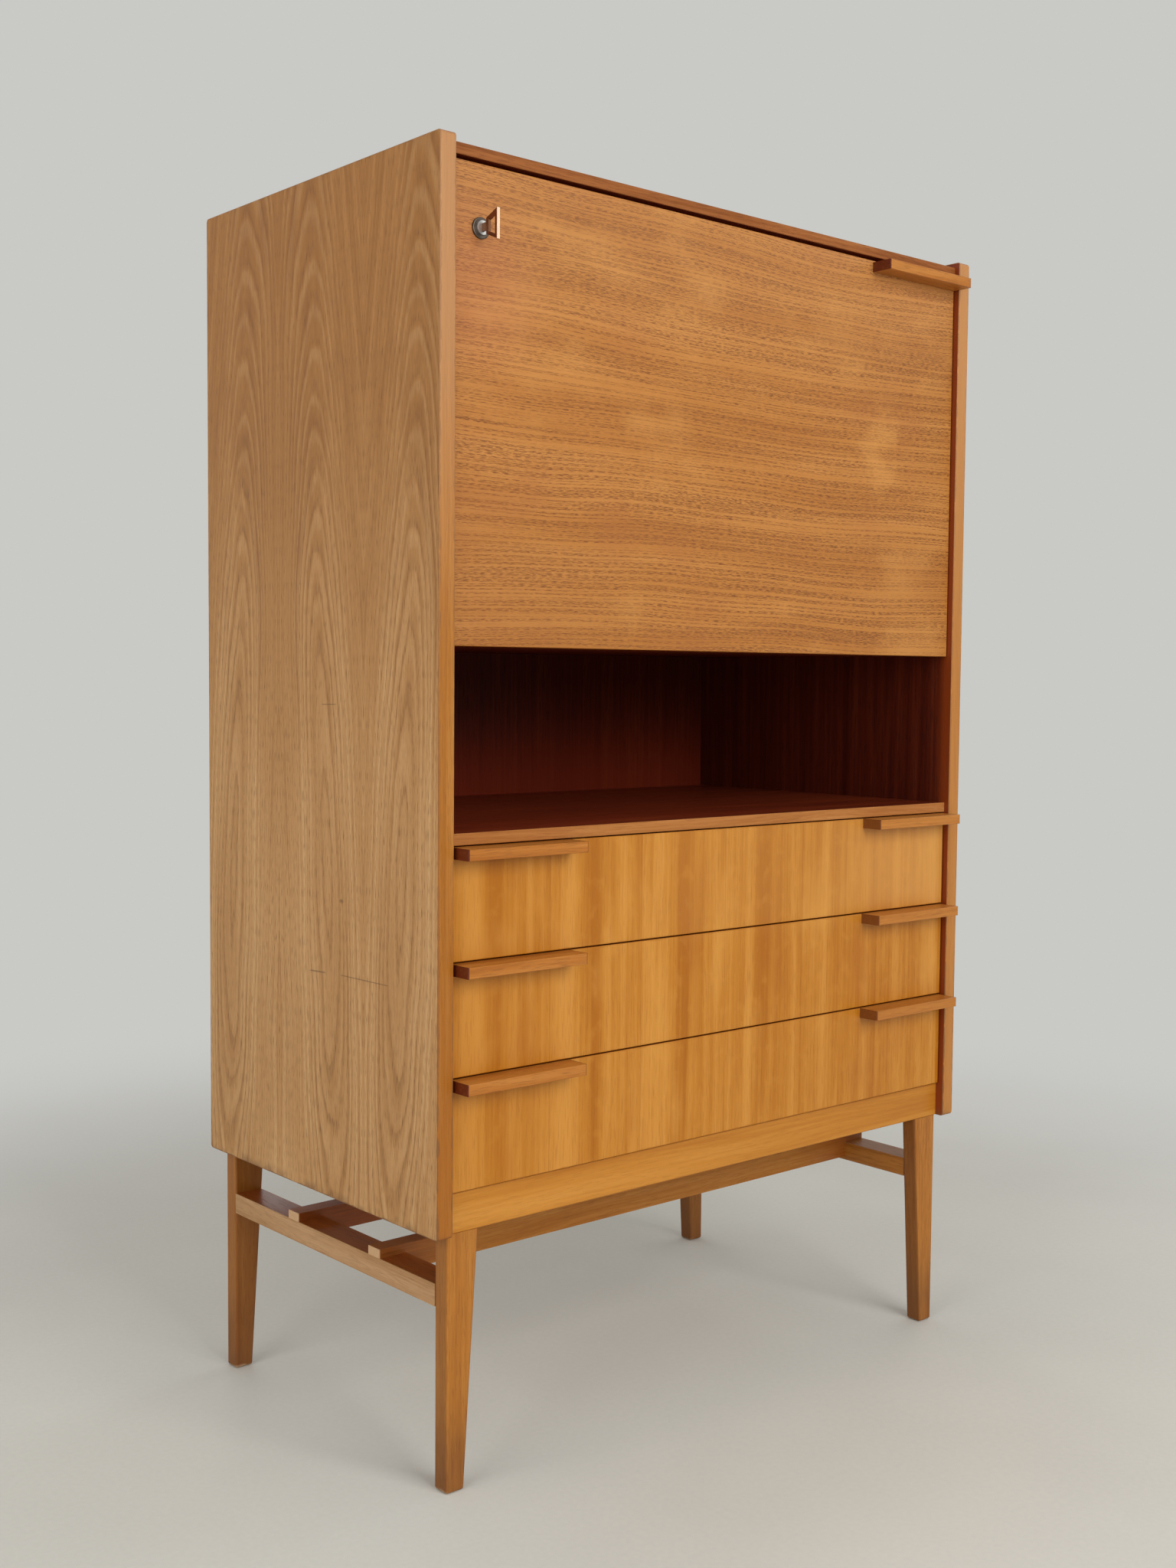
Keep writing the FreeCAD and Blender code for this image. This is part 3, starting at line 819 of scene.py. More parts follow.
@dataclass(frozen=True)
class Metal:
    """Bare or plated metal with handling marks and a little tarnish."""

    name: str
    bright: Colour
    dull: Colour
    polish: float
    cloud: Layer = Layer((75.0, 75.0, 75.0), 0.0, 3.0)
    hair: Layer = Layer((220.0, 1800.0, 1800.0), 1.7, 2.0)
    stain_band: Pair = (0.4, 0.72)
    stain_share: float = 0.7
    stain_roughness: float = 0.12
    hair_share: float = 0.18
    hair_roughness: float = 0.1
    relief: float = 0.000008

    def piece(self, node: str, seed: float) -> Material:
        """Material of one metal piece."""
        graph = Graph("%s_%s" % (self.name, node))
        return self.finish(graph, self.paint(graph, seed))

    def paint(self, graph: Graph, seed: float) -> Surface:
        """Lay the metal with its stains and hairlines.

        Args:
            graph: Graph to build in.
            seed: Seed of its marks.

        Returns:
            The painted surface.
        """
        cloud = graph.noise(graph.point, self.cloud, seed)
        hair = graph.noise(graph.point, self.hair, seed)
        stain = graph.times(graph.ease(cloud, *self.stain_band), self.stain_share)
        colour = graph.ramp(stain, (0.0, 1.0), (self.bright, self.dull))
        colour = graph.tint(graph.times(hair, self.hair_share), colour, self.dull)
        rough = graph.line(stain, self.stain_roughness, self.polish)
        return Surface(colour, graph.plus(rough, graph.swing(hair, self.hair_roughness)), hair)

    def finish(self, graph: Graph, surface: Surface) -> Material:
        """Wire the surface as metal."""
        graph.shader.inputs["Metallic"].default_value = 1.0
        return graph.close(surface, self.relief)


GOLDEN = Timber(
    "golden_timber",
    (0.58, 0.252, 0.040), (0.505, 0.199, 0.021), (0.41, 0.139, 0.009), (0.23, 0.072, 0.008),
    broad=(2.0, 45.0), streak=(5.0, 300.0), pore_share=0.16, weight=0.68,
)
LEG_TIMBER = Timber(
    "leg_timber",
    (0.485, 0.200, 0.036), (0.400, 0.146, 0.018), (0.305, 0.097, 0.008), (0.17, 0.053, 0.007),
    broad=(2.0, 55.0), pore_share=0.35,
)
BAR_TIMBER = Timber(
    "bar_timber",
    (0.50, 0.198, 0.036), (0.43, 0.148, 0.019), (0.34, 0.103, 0.009), (0.18, 0.055, 0.008),
    broad=(2.5, 80.0), pore_share=0.35,
)
LIPPING = Timber(
    "lipping",
    (0.446, 0.187, 0.034), (0.379, 0.136, 0.013), (0.298, 0.093, 0.004), (0.20, 0.064, 0.006),
    broad=(2.5, 90.0), pore_share=0.35,
)
TOP_LIP = Timber(
    "top_lip",
    (0.36, 0.130, 0.036), (0.285, 0.092, 0.023), (0.20, 0.060, 0.013), (0.10, 0.030, 0.008),
    broad=(2.5, 90.0), pore_share=0.35,
)
SHELF_LIP = Timber(
    "shelf_lip",
    (0.485, 0.205, 0.062), (0.405, 0.155, 0.039), (0.305, 0.104, 0.021), (0.19, 0.062, 0.012),
    broad=(2.5, 90.0), pore_share=0.25,
)
FLAP_VENEER = Timber(
    "flap_veneer",
    (0.532, 0.224, 0.051), (0.460, 0.179, 0.033), (0.390, 0.139, 0.021), (0.165, 0.047, 0.007),
)
DRAWER_VENEER = Timber(
    "drawer_veneer",
    (0.575, 0.245, 0.036), (0.480, 0.180, 0.014), (0.385, 0.122, 0.003), (0.28, 0.082, 0.004),
    broad=(0.7, 30.0), streak=(2.0, 320.0), pores=(45.0, 1000.0), pore_share=0.3, wave=0.009, weight=0.82,
    satin=0.38, spread=0.088,
)
PALE_FACE = Timber(
    "pale_face",
    (0.525, 0.303, 0.145), (0.448, 0.240, 0.100), (0.36, 0.178, 0.062), (0.22, 0.096, 0.032),
    broad=(2.5, 60.0), pore_share=0.35,
)
# Dark red timber: the drawer edges' own colour, and partly painted shade on the rails and the left
# stretcher.
RED_STAIN_AND_SHADE = Timber(
    "red_stain",
    (0.36, 0.096, 0.017), (0.272, 0.066, 0.010), (0.19, 0.043, 0.006), (0.09, 0.020, 0.004),
    broad=(2.2, 55.0), pore_share=0.4, satin=0.36,
)
MAHOGANY = Timber(
    "mahogany",
    (0.24, 0.043, 0.012), (0.145, 0.020, 0.006), (0.075, 0.010, 0.004), (0.022, 0.004, 0.002),
    broad=(1.6, 55.0), streak=(5.0, 260.0), pores=(50.0, 900.0), pore_share=0.5, wave=0.008, satin=0.34,
    coat=0.0, gloss=0.12,
)
BEECH = Timber(
    "beech",
    (0.62, 0.43, 0.24), (0.54, 0.35, 0.18), (0.43, 0.26, 0.125), (0.32, 0.18, 0.08),
    broad=(2.0, 30.0), pores=(150.0, 1200.0), pore_share=0.4, satin=0.5, coat=0.0,
)
PLY = Timber(
    "ply",
    (0.50, 0.33, 0.175), (0.42, 0.26, 0.13), (0.32, 0.185, 0.085), (0.22, 0.12, 0.05),
    broad=(2.4, 12.0), streak=(5.0, 160.0), pores=(60.0, 800.0), pore_share=0.4, wave=0.06, satin=0.55,
    coat=0.0, gloss=0.05,
)
ASH = ArchedVeneer(
    upper=((0.285, 0.112, 0.022), (0.352, 0.147, 0.033), (0.432, 0.194, 0.052)),
    lower=((0.395, 0.185, 0.054), (0.482, 0.248, 0.085), (0.580, 0.330, 0.138)),
    pore=(0.19, 0.074, 0.016),
)
RIBBON = RibbonVeneer(DRAWER_VENEER)
ROWED = RowedVeneer(FLAP_VENEER)
BRONZE = Metal("bronze", (0.95, 0.75, 0.56), (0.74, 0.50, 0.32), 0.3)
# Dark bronze of the key: partly its aged colour, partly a painted dark reflection.
AGED_BRONZE_AND_REFLECTION = Metal("aged_bronze", (0.25, 0.115, 0.058), (0.13, 0.055, 0.027), 0.34)
DARK_BRONZE = Metal("dark_bronze", (0.13, 0.105, 0.085), (0.06, 0.045, 0.035), 0.36)
NICKEL = Metal("nickel", (0.84, 0.82, 0.79), (0.56, 0.53, 0.49), 0.24)
STEEL = Metal("steel", (0.70, 0.69, 0.67), (0.42, 0.41, 0.39), 0.34)
BRASS = Metal("brass", (0.74, 0.53, 0.24), (0.48, 0.32, 0.13), 0.26)


def dress(nodes: Nodes, name: str, material: Material) -> None:
    """Put a material on a carried-over piece.

    Args:
        nodes: Carried-over pieces by name.
        name: Piece to dress.
        material: Its finish.
    """
    piece = nodes[name]
    if not piece.material_slots:
        piece.data.materials.append(material)
    for slot in piece.material_slots:
        slot.material = material
    LOG.info("dressed %s", name)


@dataclass(frozen=True)
class EndGrainAndShade:
    """Other colour of the faces that cut across the fibres: pale end grain on the cross rails, painted
    shade on the handles.
    """

    colour: Colour
    share: float
    skin: Pair = (0.0011, 0.0007)
    mottle: Layer = Layer((30.0, 420.0, 420.0), 5.5, 3.0)
    mottle_line: Pair = (0.6, 0.7)

    def show(self, graph: Graph, surface: Surface, out: Socket, end: float) -> Surface:
        """Change the ends of a piece.

        Args:
            graph: Graph to build in.
            surface: Surface of the whole piece.
            out: Distance from the middle of the piece along its fibres.
            end: Where the piece ends.

        Returns:
            The surface with its ends changed.
        """
        mottle = graph.noise(graph.point, self.mottle, seed=0.0)
        there = graph.times(graph.ease(out, end - self.skin[0], end - self.skin[1]), self.share)
        there = graph.times(there, graph.line(mottle, *self.mottle_line))
        return Surface(graph.tint(there, surface.colour, self.colour), surface.roughness, surface.height)


def deselect() -> None:
    """Leave nothing selected."""
    bpy.ops.object.select_all(action="DESELECT")


def select_faces(piece: Piece, test: Callable[[Vector, Vector], bool]) -> None:
    """Select the faces of a piece in edit mode whose centre and normal meet a test.

    Args:
        piece: Piece that is being edited.
        test: Function of a face's centre and normal.
    """
    bpy.ops.object.mode_set(mode="OBJECT")
    mesh = piece.data
    for items in (mesh.vertices, mesh.edges, mesh.polygons):
        items.foreach_set("select", [False] * len(items))
    for face in mesh.polygons:
        face.select = bool(test(face.center, face.normal))
    bpy.ops.object.mode_set(mode="EDIT")
    bpy.ops.mesh.select_mode(type="FACE")


def round_head(sides: int, radius: float, depth: float, steps: Sequence[Pair]) -> Piece:
    """Model a small round head at the origin, raised in steps towards +Z.

    Args:
        sides: Number of sides of its outline.
        radius: Its radius.
        depth: Its depth before the steps.
        steps: Width and rise of each step.

    Returns:
        The head.
    """
    deselect()
    bpy.ops.mesh.primitive_cylinder_add(vertices=sides, radius=radius, depth=depth)
    head = bpy.context.active_object
    bpy.ops.object.mode_set(mode="EDIT")
    select_faces(head, lambda centre, normal: normal.z > FACING_UP)
    for width, rise in steps:
        bpy.ops.mesh.inset(thickness=width, depth=rise)
    bpy.ops.object.mode_set(mode="OBJECT")
    return head


def scatter(model: Piece, moves: Sequence[Matrix], name: str, material: Material) -> Piece:
    """Copy a model to several places and join the copies as one piece.

    Args:
        model: Model at the origin, which is used up.
        moves: Placement of each copy.
        name: Name of the joined piece.
        material: Its finish.

    Returns:
        The joined piece, with the places in its mesh.
    """
    copies = []
    for move in moves:
        copy = model.copy()
        copy.data = model.data.copy()
        bpy.context.collection.objects.link(copy)
        copy.data.transform(move)
        copies.append(copy)
    bpy.data.objects.remove(model, do_unlink=True)
    deselect()
    for copy in copies:
        copy.select_set(True)
    bpy.context.view_layer.objects.active = copies[0]
    bpy.ops.object.join()
    piece = bpy.context.active_object
    piece.name = name
    piece.data.materials.clear()
    piece.data.materials.append(material)
    return piece


@dataclass(frozen=True)
class SlottedScrew:
    """Countersunk wood screw, shown by its slotted head.

    Steps and blade are in shares of the radius, and of how far the head stands proud.
    """

    radius: float
    proud: float = 0.0006
    steps: tuple[Pair, ...] = ((0.22, 0.35), (0.3, 0.1))
    blade: Point = (3.0, 0.26, 1.3)
    blade_level: float = 1.35
    sides: int = 28
    smooth_angle: float = 35.0
    seed_step: float = 0.71

    def model(self) -> Piece:
        """Model one head at the origin, facing +Z.

        Returns:
            The head, with its slot cut.
        """
        steps = [(width * self.radius, rise * self.proud) for width, rise in self.steps]
        head = round_head(self.sides, self.radius, 2 * self.proud, steps)
        deselect()
        bpy.ops.mesh.primitive_cube_add(size=1.0, location=(0.0, 0.0, self.blade_level * self.proud))
        blade = bpy.context.active_object
        length, width, depth = self.blade
        blade.scale = (length * self.radius, width * self.radius, depth * self.proud)
        bpy.ops.object.transform_apply(location=True, rotation=False, scale=True)
        cut = head.modifiers.new("slot", "BOOLEAN")
        cut.operation = "DIFFERENCE"
        cut.solver = "EXACT"
        cut.object = blade
        deselect()
        head.select_set(True)
        bpy.context.view_layer.objects.active = head
        bpy.ops.object.modifier_apply(modifier=cut.name)
        bpy.data.objects.remove(blade, do_unlink=True)
        bpy.ops.object.shade_smooth_by_angle(angle=math.radians(self.smooth_angle))
        return head

    def place(self, name: str, places: Sequence[ScrewPlace], body: str, metal: Metal, slot: str) -> None:
        """Copy the head to a list of places as one piece.

        Args:
            name: Name of the piece.
            places: Point on the plate, outward direction and turn of the slot in degrees.
            body: Body that carries the screws.
            metal: Their finish.
            slot: Not used.
        """
        moves = []
        for point, outward, turn in places:
            facing = Vector(outward).to_track_quat("Z", "Y").to_matrix().to_4x4()
            moves.append(Matrix.Translation(point) @ facing @ Matrix.Rotation(math.radians(turn), 4, "Z"))
        piece = scatter(self.model(), moves, name, metal.piece(name, len(name) * self.seed_step))
        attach(piece, body)
        LOG.info("placed %d heads as %s", len(places), name)


@dataclass
class SidePanels:
    """Left and right panels: arched veneer outside, mahogany inside, solid front edges."""

    outer: float = 0.385
    front: float = -0.205
    rear: float = 0.225
    top: float = 1.27
    underside: float = 0.252
    veneer_depth: float = 0.0016
    lipping_depth: float = 0.0011
    lipping_core: float = 0.7
    edge_depth: float = 0.0012
    edge_core: float = 0.5
    left_seed: float = 3.0
    right_seed: float = 23.0
    inside_shift: float = 40.0
    edge_shift: float = 60.0
    hidden_shift: float = 70.0
    shade: Colour = (0.035, 0.004, 0.002)
    shade_share: float = 0.45
    rim: Wash = Wash((-0.184, -0.197), 0.6, (0.34, 0.060, 0.009))
    paler_top: Wash = Wash((0.75, 1.2), 0.62, (0.49, 0.255, 0.115))
    deep: Colour = (0.31, 0.090, 0.004)
    deep_band: Pair = (0.7, 0.3)
    deep_shares: Pair = (0.6, 0.15)
    left_to_right: Pair = (-0.1, 0.1)
    painted_light: Colour = (0.56, 0.235, 0.060)
    sunned_share: float = 0.4
    mark: Colour = (0.12, 0.05, 0.02)
    mark_share: float = 0.55
    knot: Pair = (-0.0419, 0.5554)
    knot_band: Pair = (0.0055, 0.0015)
    knot_squash: float = 2.0
    scratches: tuple[tuple[Pair, Pair, float], ...] = (
        ((-0.126, 0.4819), (-0.038, 0.4812), 0.0008),
        ((-0.0146, 0.4801), (0.0192, 0.4787), 0.0012),
        ((-0.0345, 0.7502), (-0.0032, 0.7497), 0.0008),
    )
    grime: Colour = (0.16, 0.075, 0.03)
    grime_height: float = 0.012
    grime_share: float = 0.6
    grime_roughness: float = 0.15
    speck: Layer = Layer((40.0, 40.0, 40.0), 5.0, 4.0)
    speck_band: Pair = (0.42, 0.62)
    rub_reach: float = 0.0018
    rub_band: Pair = (0.62, 0.3)
    rub_line: Pair = (0.34, 0.36)

    def dress(self, nodes: Nodes) -> None:
        """Dress both panels."""
        for side in Side:
            dress(nodes, side.word + "_side_panel", self.finish(side))

    def finish(self, side: Side) -> Material:
        """Material of one panel, chosen by the face that a point lies on.

        Args:
            side: Which panel.

        Returns:
            The finished material.
        """
        node = side.word + "_side_panel"
        seed = self.left_seed if side is Side.LEFT else self.right_seed
        graph = Graph("case_veneer_" + node)
        inside = MAHOGANY.paint(graph, Grain.Z, seed + self.inside_shift)
        # Painted shade over the inner face, with painted light on a strip along its front.
        inside.colour = graph.tint(self.shade_share, inside.colour, self.shade)
        inside.colour = self.rim.over(graph, inside.colour, graph.y)
        veneer = ASH.paint(graph, seed)
        edge = self.toned(graph, LIPPING.paint(graph, Grain.Z, seed + self.edge_shift))
        if side is Side.LEFT:
            veneer = self.marked(graph, veneer)
        else:
            # Painted light on the right panel's front edge.
            edge.colour = graph.tint(self.sunned_share, edge.colour, self.painted_light)
        on_veneer = graph.near(graph.size(graph.x), self.outer, -self.veneer_depth)
        on_front = graph.near(graph.y, self.front, self.lipping_depth, self.lipping_core)
        on_top = graph.near(graph.z, self.top, -self.edge_depth, self.edge_core)
        on_rear = graph.near(graph.y, self.rear, -self.edge_depth, self.edge_core)
        on_underside = graph.near(graph.z, self.underside, self.edge_depth, self.edge_core)
        surface = graph.choose(on_veneer, inside, veneer)
        surface = graph.choose(graph.larger(on_front, on_top), surface, edge)
        hidden = LEG_TIMBER.paint(graph, Grain.Z, seed + self.hidden_shift)
        surface = graph.choose(graph.larger(on_rear, on_underside), surface, hidden)
        return LIPPING.finish(graph, self.grimed(graph, surface, node, seed))

    def toned(self, graph: Graph, edge: Surface) -> Surface:
        """Make the solid edge paler towards the top and darker towards the floor.

        Args:
            graph: Graph to build in.
            edge: Plain edge.

        Returns:
            The edge with its change of colour.
        """
        colour = self.paler_top.over(graph, edge.colour, graph.z)
        strength = graph.between(graph.ease(graph.x, *self.left_to_right), *self.deep_shares)
        low = graph.times(graph.ease(graph.z, *self.deep_band), strength)
        return Surface(graph.tint(low, colour, self.deep), edge.roughness, edge.height)

    def marked(self, graph: Graph, veneer: Surface) -> Surface:
        """Add the knot and the long scratches of the left panel's outer face.

        Args:
            graph: Graph to build in.
            veneer: Plain veneer.

        Returns:
            The marked veneer.
        """
        across, up = self.knot
        rise = graph.line(graph.z, self.knot_squash, -self.knot_squash * up)
        off = graph.distance(graph.plus(graph.y, -across), rise)
        mark = graph.ease(off, *self.knot_band)
        for start, end, width in self.scratches:
            mark = graph.larger(mark, graph.scratch(graph.y, graph.z, start, end, width))
        colour = graph.tint(graph.times(mark, self.mark_share), veneer.colour, self.mark)
        return Surface(colour, veneer.roughness, veneer.height)

    def grimed(self, graph: Graph, surface: Surface, node: str, seed: float) -> Surface:
        """Darken the panel's rubbed edges and its lowest strip.

        Args:
            graph: Graph to build in.
            surface: Clean surface.
            node: Panel node.
            seed: Seed of the panel.

        Returns:
            The grimy surface.
        """
        strength = graph.line(graph.ease(graph.z, *self.rub_band), *self.rub_line)
        rub = graph.times(graph.edges(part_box(node), self.rub_reach, seed), strength)
        speck = graph.ease(graph.noise(graph.point, self.speck, seed), *self.speck_band)
        low = graph.ease(graph.z, self.underside + self.grime_height, self.underside)
        share = graph.larger(rub, graph.times(graph.times(low, speck), self.grime_share))
        rough = graph.line(share, self.grime_roughness, surface.roughness)
        return Surface(graph.tint(share, surface.colour, self.grime), rough, surface.height)


@dataclass
class FixedBoards:
    """Top, desk floor, niche shelf and bottom board with their front lips."""

    skin: float = 0.0012
    top_level: float = 1.2645
    top_core: float = 0.5
    worn_shelf: Colour = (0.34, 0.050, 0.018)
    worn_band: Pair = (0.3, -0.3)
    worn_line: Pair = (0.25, 0.05)
    veneer_shift: float = 11.0
    lip_shift: float = 20.0

    def dress(self, nodes: Nodes) -> None:
        """Dress every fixed board.

        Args:
            nodes: Carried-over pieces by name.
        """
        lips = (("top_board", TOP_LIP, 5.1), ("niche_shelf", SHELF_LIP, 6.4), ("desk_floor", LIPPING, 7.9))
        for name, lip, seed in lips:
            dress(nodes, name, self.lipped(name, lip, seed))
        dress(nodes, "bottom_board", PLY.piece("bottom_board", Grain.X, seed=8.3))

    def lipped(self, node: str, lip: Timber, seed: float) -> Material:
        """Mahogany board with a solid lip along its front edge.

        Args:
            node: Board to finish.
            lip: Wood of the lip.
            seed: Seed of its figure.

        Returns:
            The finished material.
        """
        graph = Graph("inside_veneer_" + node)
        surface = MAHOGANY.paint(graph, Grain.X, seed)
        if node == "niche_shelf":
            # Painted light: the niche shelf lighter and redder towards the left.
            worn = graph.line(graph.ease(graph.x, *self.worn_band), *self.worn_line)
            surface.colour = graph.tint(worn, surface.colour, self.worn_shelf)
        if node == "top_board":
            on_top = graph.near(graph.z, self.top_level, -self.skin, self.top_core)
            surface = graph.choose(on_top, surface, ROWED.paint(graph, graph.y, seed + self.veneer_shift))
        on_lip = graph.near(graph.y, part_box(node)[0][1], self.skin)
        surface = graph.choose(on_lip, surface, lip.paint(graph, Grain.X, seed + self.lip_shift))
        return MAHOGANY.finish(graph, surface)


@dataclass
class BackSheet:
    """Thin back: mahogany towards the inside, bare sheet behind, pinned round its edge."""

    inner_face: float = 0.2212
    outer_face: float = 0.225
    skin: float = 0.0006
    half_width: float = 0.368
    bottom: float = 0.262
    top: float = 1.256
    pins_wide: int = 8
    pins_high: int = 11
    pin_radius: float = 0.0028
    pin_depth: float = 0.0012
    pin_step: float = 0.35
    pin_rises: Pair = (0.00025, 0.0001)
    pin_sides: int = 14
    smooth_angle: float = 50.0
    shade: Colour = (0.025, 0.003, 0.0015)
    shade_share: float = 0.66
    # Painted light on the lower left of the inner face.
    glow: Colour = (0.25, 0.028, 0.010)
    glow_below: Pair = (0.75, 0.64)
    glow_left: Pair = (0.1, -0.35)
    glow_line: Pair = (0.35, 0.35)

    def dress(self, nodes: Nodes) -> None:
        """Dress the sheet's two faces.

        Args:
            nodes: Carried-over pieces by name.
        """
        graph = Graph("plain_board_back_panel")
        inside = MAHOGANY.paint(graph, Grain.Z, seed=12.2)
        inside.colour = graph.tint(self.shade_share, inside.colour, self.shade)
        # Painted light: the lower left of the inner face lighter and redder.
        left = graph.line(graph.ease(graph.x, *self.glow_left), *self.glow_line)
        glow = graph.times(graph.ease(graph.z, *self.glow_below), left)
        inside.colour = graph.tint(glow, inside.colour, self.glow)
        bare = PLY.paint(graph, Grain.Z, seed=13.6)
        on_bare = graph.near(graph.y, self.inner_face, -self.skin, core=0.0)
        dress(nodes, "back_panel", PLY.finish(graph, graph.choose(on_bare, inside, bare)))

    def build(self) -> None:
        """Pin the sheet round its edge with small flat-headed pins."""
        places = []
        for index in range(self.pins_wide):
            across = -self.half_width + 2 * self.half_width * index / (self.pins_wide - 1)
            places += [(across, self.bottom), (across, self.top)]
        for index in range(1, self.pins_high - 1):
            up = self.bottom + (self.top - self.bottom) * index / (self.pins_high - 1)
            places += [(-self.half_width, up), (self.half_width, up)]
        steps = [(self.pin_step * self.pin_radius, rise) for rise in self.pin_rises]
        pin = round_head(self.pin_sides, self.pin_radius, self.pin_depth, steps)
        bpy.ops.object.shade_smooth_by_angle(angle=math.radians(self.smooth_angle))
        facing = Matrix.Rotation(math.radians(-90.0), 4, "X")
        moves = [Matrix.Translation((across, self.outer_face, up)) @ facing for across, up in places]
        piece = scatter(pin, moves, "back_pins", NICKEL.piece("back_pins", seed=4.4))
        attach(piece, "carcass")
        LOG.info("placed %d back pins", len(places))


@dataclass
class Compartment:
    """Shelf and dividers behind the flap."""

    def dress(self, nodes: Nodes) -> None:
        """Dress the shelf and both dividers.

        Args:
            nodes: Carried-over pieces by name.
        """
        dress(nodes, "compartment_shelf", MAHOGANY.piece("compartment_shelf", Grain.X, seed=15.5))
        dress(nodes, "left_divider", MAHOGANY.piece("left_divider", Grain.Y, seed=16.1))
        dress(nodes, "right_divider", MAHOGANY.piece("right_divider", Grain.Y, seed=17.7))


@dataclass
class BlockHandles:
    """Solid bars with square ends, the same on the flap and on every drawer."""

    middle: float = 0.2915
    half_length: float = 0.0725
    # Painted shade on the ends of the handles.
    ends: EndGrainAndShade = EndGrainAndShade((0.105, 0.015, 0.002), 1.0)
    # Painted light on the right-hand drawer handles.
    painted_light: Wash = Wash((0.0, 0.1), 0.16, (0.62, 0.27, 0.05))
    sunned_below: Pair = (0.9, 0.7)

    def finish(self, node: str, seed: float) -> Material:
        """Material of the handles of one front, with painted shade on their ends and painted light on the
        right-hand drawer handles.

        Args:
            node: Handle node.
            seed: Seed of their grain.

        Returns:
            The finished material.
        """
        graph = Graph("bar_timber_" + node)
        surface = BAR_TIMBER.paint(graph, Grain.X, seed)
        out = graph.gap(graph.size(graph.x), self.middle)
        # Painted shade on both ends of each handle.
        surface = self.ends.show(graph, surface, out, self.half_length)
        # Painted light: the right-hand drawer handles lighter.
        below = graph.ease(graph.z, *self.sunned_below)
        surface.colour = self.painted_light.over(graph, surface.colour, graph.x, below)
        return BAR_TIMBER.finish(graph, surface)


@dataclass
class Flap:
    """Fall front: level veneer outside, mahogany writing face inside, solid edges, one handle."""

    outer_face: float = -0.198
    inner_face: float = -0.180
    skin: float = 0.0011
    cloud_seed: float = 38.0
    cloud: Layer = Layer((5.0, 9.0, 1.0), 0.0, 3.0)
    patch: Layer = Layer((16.0, 22.0, 1.0), 1.0, 2.0)
    patch_weight: float = 0.3
    gold: Wash = Wash((0.5, 0.68), 0.4, (0.62, 0.285, 0.070))
    red: Wash = Wash((0.5, 0.33), 0.4, (0.36, 0.118, 0.026))
    faded_top: Wash = Wash((1.05, 1.24), 0.1, (0.62, 0.33, 0.16))
    handled: Wash = Wash((0.11, 0.02), 0.3, (0.45, 0.150, 0.062))
    handled_place: Pair = (-0.34, 1.14)
    corner: Wash = Wash((1.02, 0.83), 0.3, (0.28, 0.090, 0.010))
    corner_band: Pair = (0.1, -0.36)
    bright: Wash = Wash((0.055, 0.012), 0.4, (0.66, 0.305, 0.075))
    bright_place: Pair = (0.25, 1.04)
    bright_squash: float = 0.7
    bright_band: Pair = (0.36, 0.62)

    def dress(self, nodes: Nodes) -> None:
        """Dress the flap and its handle.

        Args:
            nodes: Carried-over pieces by name.
        """
        graph = Graph("flap_veneer_flap_board")
        outside = self.clouded(graph, ROWED.paint(graph, graph.z, seed=31.0))
        inside = MAHOGANY.paint(graph, Grain.X, seed=33.0)
        edge = LIPPING.paint(graph, Grain.X, seed=35.0)
        on_face = graph.near(graph.y, self.outer_face, self.skin)
        on_inside = graph.near(graph.y, self.inner_face, -self.skin)
        surface = graph.choose(on_face, graph.choose(on_inside, edge, inside), outside)
        surface = FLAP_VENEER.worn(graph, surface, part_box("flap_board"), seed=36.0)
        dress(nodes, "flap_board", FLAP_VENEER.finish(graph, surface))
        dress(nodes, "flap_handle", BlockHandles().finish("flap_handle", seed=37.5))

    def clouded(self, graph: Graph, veneer: Surface) -> Surface:
        """Lay soft golden and reddish clouds over the outer veneer.

        Args:
            graph: Graph to build in.
            veneer: Plain veneer.

        Returns:
            The clouded veneer.
        """
        point = graph.flat(graph.x, graph.z)
        patch = graph.noise(point, self.patch, self.cloud_seed)
        both = graph.between(self.patch_weight, graph.noise(point, self.cloud, self.cloud_seed), patch)
        colour = self.gold.over(graph, veneer.colour, both)
        colour = self.red.over(graph, colour, both)
        # Painted sheen: the top of the flap paler and greyer.
        colour = self.faded_top.over(graph, colour, graph.z)
        across, up = self.handled_place
        off_lock = graph.distance(graph.plus(graph.x, -across), graph.minus(graph.z, up))
        colour = self.handled.over(graph, colour, off_lock)
        colour = self.corner.over(graph, colour, graph.z, graph.ease(graph.x, *self.corner_band))
        across, up = self.bright_place
        rise = graph.line(graph.z, self.bright_squash, -self.bright_squash * up)
        off_spot = graph.distance(graph.minus(graph.x, across), rise)
        colour = self.bright.over(graph, colour, off_spot, graph.ease(patch, *self.bright_band))
        return Surface(colour, veneer.roughness, veneer.height)


